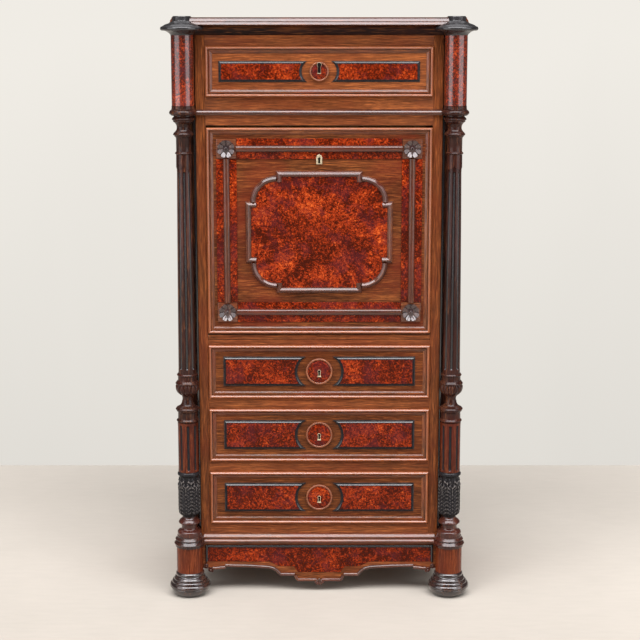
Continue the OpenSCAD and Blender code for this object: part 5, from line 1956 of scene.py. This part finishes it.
class SECRETARY_OT_brass(bpy.types.Operator):
    """Locks, bolts, stays and pivots"""

    bl_idname = "secretary.brass"
    bl_label = "Locks and stays"

    def execute(self, context):
        backward = FACING_OUT.inverted()
        screw = [(0, 0), (2.6, 0), (2.6, 0.4), *swept((2.34, 0.7), (0.01, 1.2), 0.08, 4), (0, 1.2)]
        for owner, bolt_body in [("fall", "fall_bolt")] + [(name, name + "_bolt") for name in DRAWERS]:
            node = owner + "_lock"
            high = node_box(node)[1]
            bm = cad_solid(node, 0.5)
            # The plain escutcheon gives its height and makes way for the shaped one
            for group in islands(bm):
                if max(vertex.co.x for vertex in group) < 10:
                    key_z = (max(v.co.z for v in group) + min(v.co.z for v in group)) / 2
                    bmesh.ops.delete(bm, geom=group, context="VERTS")
            black = bmesh.new()
            if owner == "fall":
                half = [(7.3, -13.9), (7.3, 3.2), (5.6, 4.2), (6.4, 6.4), (4.6, 8.8), (2.4, 9.0), (1.3, 11.5)]
                outline = mirrored(half)
                hole, place, thick = keyhole(3.5, 2.7, 11.4), (0, FACE_Y - 2, key_z + 1.2), 1.6
            elif owner == "frieze_drawer":
                outline = [
                    *arc(0, 0, 6.0, -48, 228, 16), (-4.1, -20), (-4.8, -22.3), (4.8, -22.3), (4.1, -20),
                ]
                hole, place, thick = keyhole(5.1, 3.6, 20.5), (0, FACE_Y - 7.4, key_z + 17), 0.9
            else:
                outline = [
                    *arc(0, 0, 4.4, -35, 215, 16), (-3.3, -9), (-4.8, -13.6), (-4.8, -14.8), (4.8, -14.8),
                    (4.8, -13.6), (3.3, -9),
                ]
                hole, place, thick = keyhole(3.3, 2.4, 11.2), (0, FACE_Y - 7.6, key_z + 1 + RAISED), 0.9
            add_escutcheon(bm, black, outline, hole, place, thick)
            face_outward(black)
            # The black behind the keyhole is painted shade
            piece(owner + "_keyhole", black, "hole", owner, [node])
            for x in (-25, 25):
                for z in (high.z - 6, high.z - 38):
                    add_turned(bm, screw, (x, high.y, z), 20, backward)
            face_outward(bm)
            piece(owner + "_lock_brass", bm, "brass", owner, [node])
            cad_piece(bolt_body + "_brass", bolt_body, 0.6, "brass", bolt_body)
        cad_piece("fall_stays", "fall_quadrants", 0.4, "brass", "fall")
        cad_piece("pivots", "pivot_plates", 0.4, "brass", "carcass")
        return {"FINISHED"}


class SECRETARY_OT_drawers(bpy.types.Operator):
    """Frieze drawer and the three long drawers"""

    bl_idname = "secretary.drawers"
    bl_label = "Drawers"

    def execute(self, context):
        settings = context.scene.secretary_front
        profile = front_profile(in_mm(settings.frame_width), in_mm(settings.frame_height))
        bevel = in_mm(settings.tablet_bevel)
        for name in DRAWERS:
            frieze = name == "frieze_drawer"
            wood_name = "walnut" if frieze else "field_walnut"
            cad_piece(name + "_face", name + "_front", 0.5, wood_name, name, "X")
            cad_piece(name + "_lining", name + "_box", 0.5, "inner_wood", name)

            node = name + "_trim"
            trim = [node]
            low, high = node_box(node)
            lift = 0 if frieze else RAISED
            lengths = front_frame(high.x, low.z, high.z + lift)
            moulded(
                name + "_frame", lengths, profile, OUTWARD, "moulding_wood", name, node
            )

            middle = (low.z + high.z) / 2 + lift
            # Half the height and the outer end of the tablets, the radius and the middle of the round
            # that hollows their inner ends, the roundel and its rim, and the steps of the black bevel
            if frieze:
                half, out_x, hollow, hollow_x, roundel, rim = 26, 251.5, 31.7, 12.1, 24.3, 2.3
                steps = [(0, 0.1), (0, 1.4), (0.5, 3.8), (0.84, 5.6), (1, 5.8), (1, 4.8)]
            else:
                half, out_x, hollow, hollow_x, roundel, rim = 38.6, 247, 44.5, 12.3, 34.6, 2.6
                steps = [(0, 0.1), (0, 2.4), (0.5, 4.0), (0.84, 6.5), (1, 6.6), (1, 4.8)]

            def tablet(half_height, radius):
                reach = math.degrees(math.asin(half_height / radius))
                curve = arc(hollow_x, 0, radius, -reach, reach, 16)
                edge_x = out_x - (half - half_height)
                return [(edge_x, half_height), *reversed(curve), (edge_x, -half_height)]

            inner = tablet(half - bevel, hollow + bevel)
            black, top = bmesh.new(), bmesh.new()
            for side in (-1, 1):
                rings = [
                    [
                        black.verts.new((side * x, FACE_Y - y, middle + z))
                        for x, z in tablet(half - share * bevel, hollow + share * bevel)
                    ]
                    for share, y in steps
                ]
                for first, second in zip(rings, rings[1:]):
                    for i in range(len(first)):
                        j = (i + 1) % len(first)
                        face = black.faces.new((first[i], first[j], second[j], second[i]))
                        face.material_index = 1 if first is rings[2] else 0
                black.faces.new(rings[0][::-1])
                black.faces.new(rings[-1])
                add_plate(top, [(side * x, middle + z) for x, z in inner], FACE_Y - 5.6, 0.9)
            for bm in (black, top):
                face_outward(bm)
            # Only the bevel's upper faces are glossy, where they catch the light
            for face in black.faces:
                if face.normal.z < 0.2:
                    face.material_index = 0
            piece(name + "_tablet_edges", black, "ebonised glossy_ebony", name, trim)
            piece(name + "_tablets", top, "burl_tablet", name, trim)

            place = (0, FACE_Y, middle)
            inside = roundel - 2 * rim
            ring = bmesh.new()
            add_turned_ring(ring, [
                (5.8, 0), (roundel - 0.5, 0), (roundel, 1), *arc(roundel - rim, 4.6, rim, -10, 190, 12),
                (inside, 3.2), (5.8, 3.2),
            ], place)
            piece(name + "_roundel", ring, "rim_red", name, trim, "X")
            disc = bmesh.new()
            outline = [
                (0, 3.0), (inside - 0.1, 3.0), (inside - 0.1, 4.2),
                *swept((inside - 0.8, 4.8), (4, 7.3), 0.05, 8), (0, 7.4),
            ]
            add_turned(disc, outline, place, 96, FACING_OUT)
            face_outward(disc)
            piece(name + "_roundel_burl", disc, "burl_tablet", name, trim)
        return {"FINISHED"}


def add_turned_ring(bm, outline, place):
    """Adds a turned ring that faces out, from an outline that stays off its axis."""
    rings = [circle(bm, radius, height, 96) for radius, height in outline]
    close_loops(bm, rings)
    bmesh.ops.transform(bm, matrix=Matrix.Translation(place) @ FACING_OUT, verts=bm.verts)
    face_outward(bm)


class SECRETARY_OT_small_drawers(bpy.types.Operator):
    """Three small drawers with turned knobs"""

    bl_idname = "secretary.small_drawers"
    bl_label = "Small drawers"

    def execute(self, context):
        edge = 5
        outline = [
            (0, 0), (4, 0), (4, 1), (2.4, 2.2), (2.2, 6), *swept((3.5, 7.2), (6.6, 9.5), -0.1, 4),
            *arc(4.4, 11.2, 2.4, -20, 80, 6), (2, 13.9), (0, 14),
        ]
        for name in ("small_drawer_left", "small_drawer_middle", "small_drawer_right"):
            low, high = node_box(name)
            bm = cad_solid(name, 0.4)
            # A thinner front takes the place of the plain one
            for group in islands(bm):
                depths = [vertex.co.y for vertex in group]
                if min(depths) < low.y + 1 and max(depths) - min(depths) < 40:
                    front = max(depths)
                    bmesh.ops.delete(bm, geom=group, context="VERTS")
            case_y = front - 7
            add_block(bm, (low.x, case_y, low.z), (high.x, front, high.z), 0.8)
            piece(name + "_box", bm, "inner_wood", name, [name])
            bm = bmesh.new()
            lower = (low.x + edge, case_y - 1.2, low.z + edge)
            add_block(bm, lower, (high.x - edge, case_y, high.z - edge), 0.5)
            piece(name + "_veneer", bm, "burl", name, [name])
            knob = bmesh.new()
            middle = ((low.x + high.x) / 2, case_y - 0.8, (low.z + high.z) / 2)
            add_turned(knob, outline, middle, 40, FACING_OUT)
            face_outward(knob)
            piece(name + "_knob", knob, "ebonised", name, [name], "Y")
        return {"FINISHED"}


class SECRETARY_OT_stage(bpy.types.Operator):
    """Floor, backdrop, lamps and camera"""

    bl_idname = "secretary.stage"
    bl_label = "Stage"

    def execute(self, context):
        scene = context.scene
        settings = scene.secretary_stage
        wall_y = settings.wall_distance

        reach, tall, sunk = 14, 6, 0.0005
        bm = bmesh.new()
        for corner in ((-reach, -reach), (reach, -reach), (reach, reach), (-reach, reach)):
            bm.verts.new((*corner, -sunk))
        bm.faces.new(bm.verts)
        floor = helper_object("floor", bm)
        floor.data.materials.append(self.floor_material(tuple(settings.floor)))

        bm = bmesh.new()
        for x, z in ((-reach, -2 * sunk), (reach, -2 * sunk), (reach, tall), (-reach, tall)):
            bm.verts.new((x, wall_y, z))
        bm.faces.new(bm.verts)
        wall = helper_object("backdrop", bm)
        wall.data.materials.append(self.wall_material(tuple(settings.backdrop)))
        wall.visible_diffuse = False
        wall.visible_shadow = False
        wall.visible_glossy = False

        self.world(scene, tuple(settings.backdrop), settings.surround)
        self.lamp("top_lamp", settings.top_lamp, (13.0, 4.4), (0, -4.3, 8.7), (0, -0.1, 0.8))
        self.lamp("ceiling_lamp", settings.ceiling_lamp, (15, 15), (0, -0.5, 9.6), (0, -0.5, 0))
        for name, side in (("left_lamp", -1), ("right_lamp", 1)):
            self.lamp(name, settings.side_lamp, (2.6, 2.6), (side * 2.5, -1.9, 1.6), (0, 0, 0.85))

        camera = bpy.data.cameras.new("camera")
        camera.lens = settings.focal_length
        camera.sensor_width = 36
        # The object stands 35 pixels above the middle of a picture of 640
        camera.shift_y = -35 / 640
        holder = bpy.data.objects.new("camera", camera)
        holder.location = (0.002, -settings.camera_distance, settings.eye_height)
        holder.rotation_euler = (math.pi / 2 - settings.camera_tilt, 0, 0)
        scene.collection.objects.link(holder)
        scene.camera = holder
        scene.view_settings.view_transform = "Standard"
        return {"FINISHED"}

    def lamp(self, name, power, size, place, target):
        """An area lamp that points at a target."""
        light = bpy.data.lights.new(name, "AREA")
        light.shape = "RECTANGLE"
        light.size, light.size_y = size
        light.energy = power
        light.color = (0.98, 0.97, 1.0)
        holder = bpy.data.objects.new(name, light)
        way = Vector(target) - Vector(place)
        aim = way.to_track_quat("-Z", "Y").to_matrix().to_4x4()
        holder.matrix_world = Matrix.Translation(place) @ aim
        bpy.context.scene.collection.objects.link(holder)

    def floor_material(self, colour):
        """Matt floor with faint patches, and painted light that makes it paler and warmer towards the wall.
        """
        material, tree, shader = new_material("floor")
        place = object_place(tree)
        patches = noise(tree, place, 1.6, 4, 0.6)
        fine = noise(tree, stretched(tree, place, (14, 60, 1)), 1, 5, 0.6)
        value = maths(tree, "MULTIPLY_ADD", fine, 0.35, times(tree, patches, 0.65))
        base = graded(tree, value, [(0.35, tone(colour, 0.94)), (0.65, tone(colour, 1.05))])
        # Painted light: paler and warmer towards the wall
        depth = add_node(tree, "ShaderNodeSeparateXYZ", {0: place}).outputs[1]
        far = times(tree, spread(tree, depth, -0.6, 0.3), 0.12)
        base = mixed(tree, far, base, (0.9, 0.85, 0.75, 1))
        plug(tree, shader, {"Base Color": base, "Roughness": 0.75, "Specular IOR Level": 0.2})
        return material

    def wall_material(self, colour):
        """Glowing backdrop, paler higher up and in soft patches as painted light, that can't be seen from
        behind.
        """
        material = bpy.data.materials.new("backdrop")
        material.use_nodes = True
        tree = material.node_tree
        tree.nodes.clear()
        place = object_place(tree)
        height = add_node(tree, "ShaderNodeSeparateXYZ", {0: place}).outputs[2]
        patches = noise(tree, stretched(tree, place, (1.6, 1, 0.35)), 1, 3)
        higher = spread(tree, height, 0.0, 1.6)
        level = maths(tree, "MULTIPLY_ADD", higher, 0.8, times(tree, patches, 0.4))
        shown = graded(tree, level, [(0.1, tone(colour, 0.88)), (0.9, tone(colour, 1.05))])
        glow = add_node(tree, "ShaderNodeEmission", {"Color": shown, "Strength": 1.0})
        clear = add_node(tree, "ShaderNodeBsdfTransparent")
        behind = add_node(tree, "ShaderNodeNewGeometry").outputs["Backfacing"]
        both = add_node(tree, "ShaderNodeMixShader", {0: behind, 1: glow.outputs[0], 2: clear.outputs[0]})
        add_node(tree, "ShaderNodeOutputMaterial", {0: both.outputs[0]})
        return material

    def world(self, scene, colour, surround):
        """Faint light from all round, and the backdrop's colour where the camera sees past it."""
        world = bpy.data.worlds.new("surround")
        scene.world = world
        world.use_nodes = True
        tree = world.node_tree
        tree.nodes.clear()
        path = add_node(tree, "ShaderNodeLightPath").outputs
        seen = maths(tree, "ADD", path["Is Camera Ray"], path["Is Transmission Ray"], clamp=True)
        shown = add_node(tree, "ShaderNodeBackground", {"Color": (*colour, 1), "Strength": 1.0})
        tint = (1, 0.98, 0.95, 1)
        light = add_node(tree, "ShaderNodeBackground", {"Color": tint, "Strength": surround})
        both = add_node(tree, "ShaderNodeMixShader", {0: seen, 1: light.outputs[0], 2: shown.outputs[0]})
        add_node(tree, "ShaderNodeOutputWorld", {0: both.outputs[0]})


OPERATORS = [
    SECRETARY_OT_stage, SECRETARY_OT_sides, SECRETARY_OT_back, SECRETARY_OT_inside, SECRETARY_OT_front,
    SECRETARY_OT_mouldings, SECRETARY_OT_column_ends, SECRETARY_OT_shafts, SECRETARY_OT_cups,
    SECRETARY_OT_lower_drums, SECRETARY_OT_vases, SECRETARY_OT_apron, SECRETARY_OT_fall,
    SECRETARY_OT_rosettes, SECRETARY_OT_cartouche, SECRETARY_OT_drawers, SECRETARY_OT_small_drawers,
    SECRETARY_OT_brass,
]
SETTINGS = {
    "secretary_columns": ColumnSettings,
    "secretary_front": FrontSettings,
    "secretary_finishes": FinishSettings,
    "secretary_stage": StageSettings,
}


class SECRETARY_PT_pieces(bpy.types.Panel):
    """Lists the pieces that can be built"""

    bl_label = "Drop-Front Secretary"
    bl_idname = "SECRETARY_PT_pieces"
    bl_space_type = "VIEW_3D"
    bl_region_type = "UI"
    bl_category = "Secretary"

    def draw(self, context):
        for operator in OPERATORS:
            self.layout.operator(operator.bl_idname)
        for group, kind in SETTINGS.items():
            box = self.layout.box()
            for name in kind.__annotations__:
                box.prop(getattr(context.scene, group), name)


def register():
    """Registers the settings, the operators and the panel."""
    for kind in [*SETTINGS.values(), *OPERATORS, SECRETARY_PT_pieces]:
        bpy.utils.register_class(kind)
    for name, kind in SETTINGS.items():
        setattr(bpy.types.Scene, name, PointerProperty(type=kind))


def unregister():
    """Undoes register."""
    for name in SETTINGS:
        delattr(bpy.types.Scene, name)
    for kind in reversed([*SETTINGS.values(), *OPERATORS, SECRETARY_PT_pieces]):
        bpy.utils.unregister_class(kind)


def main():
    """Registers the add-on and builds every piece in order."""
    register()
    for operator in OPERATORS:
        group, name = operator.bl_idname.split(".")
        getattr(getattr(bpy.ops, group), name)()


if __name__ == "__main__":
    main()
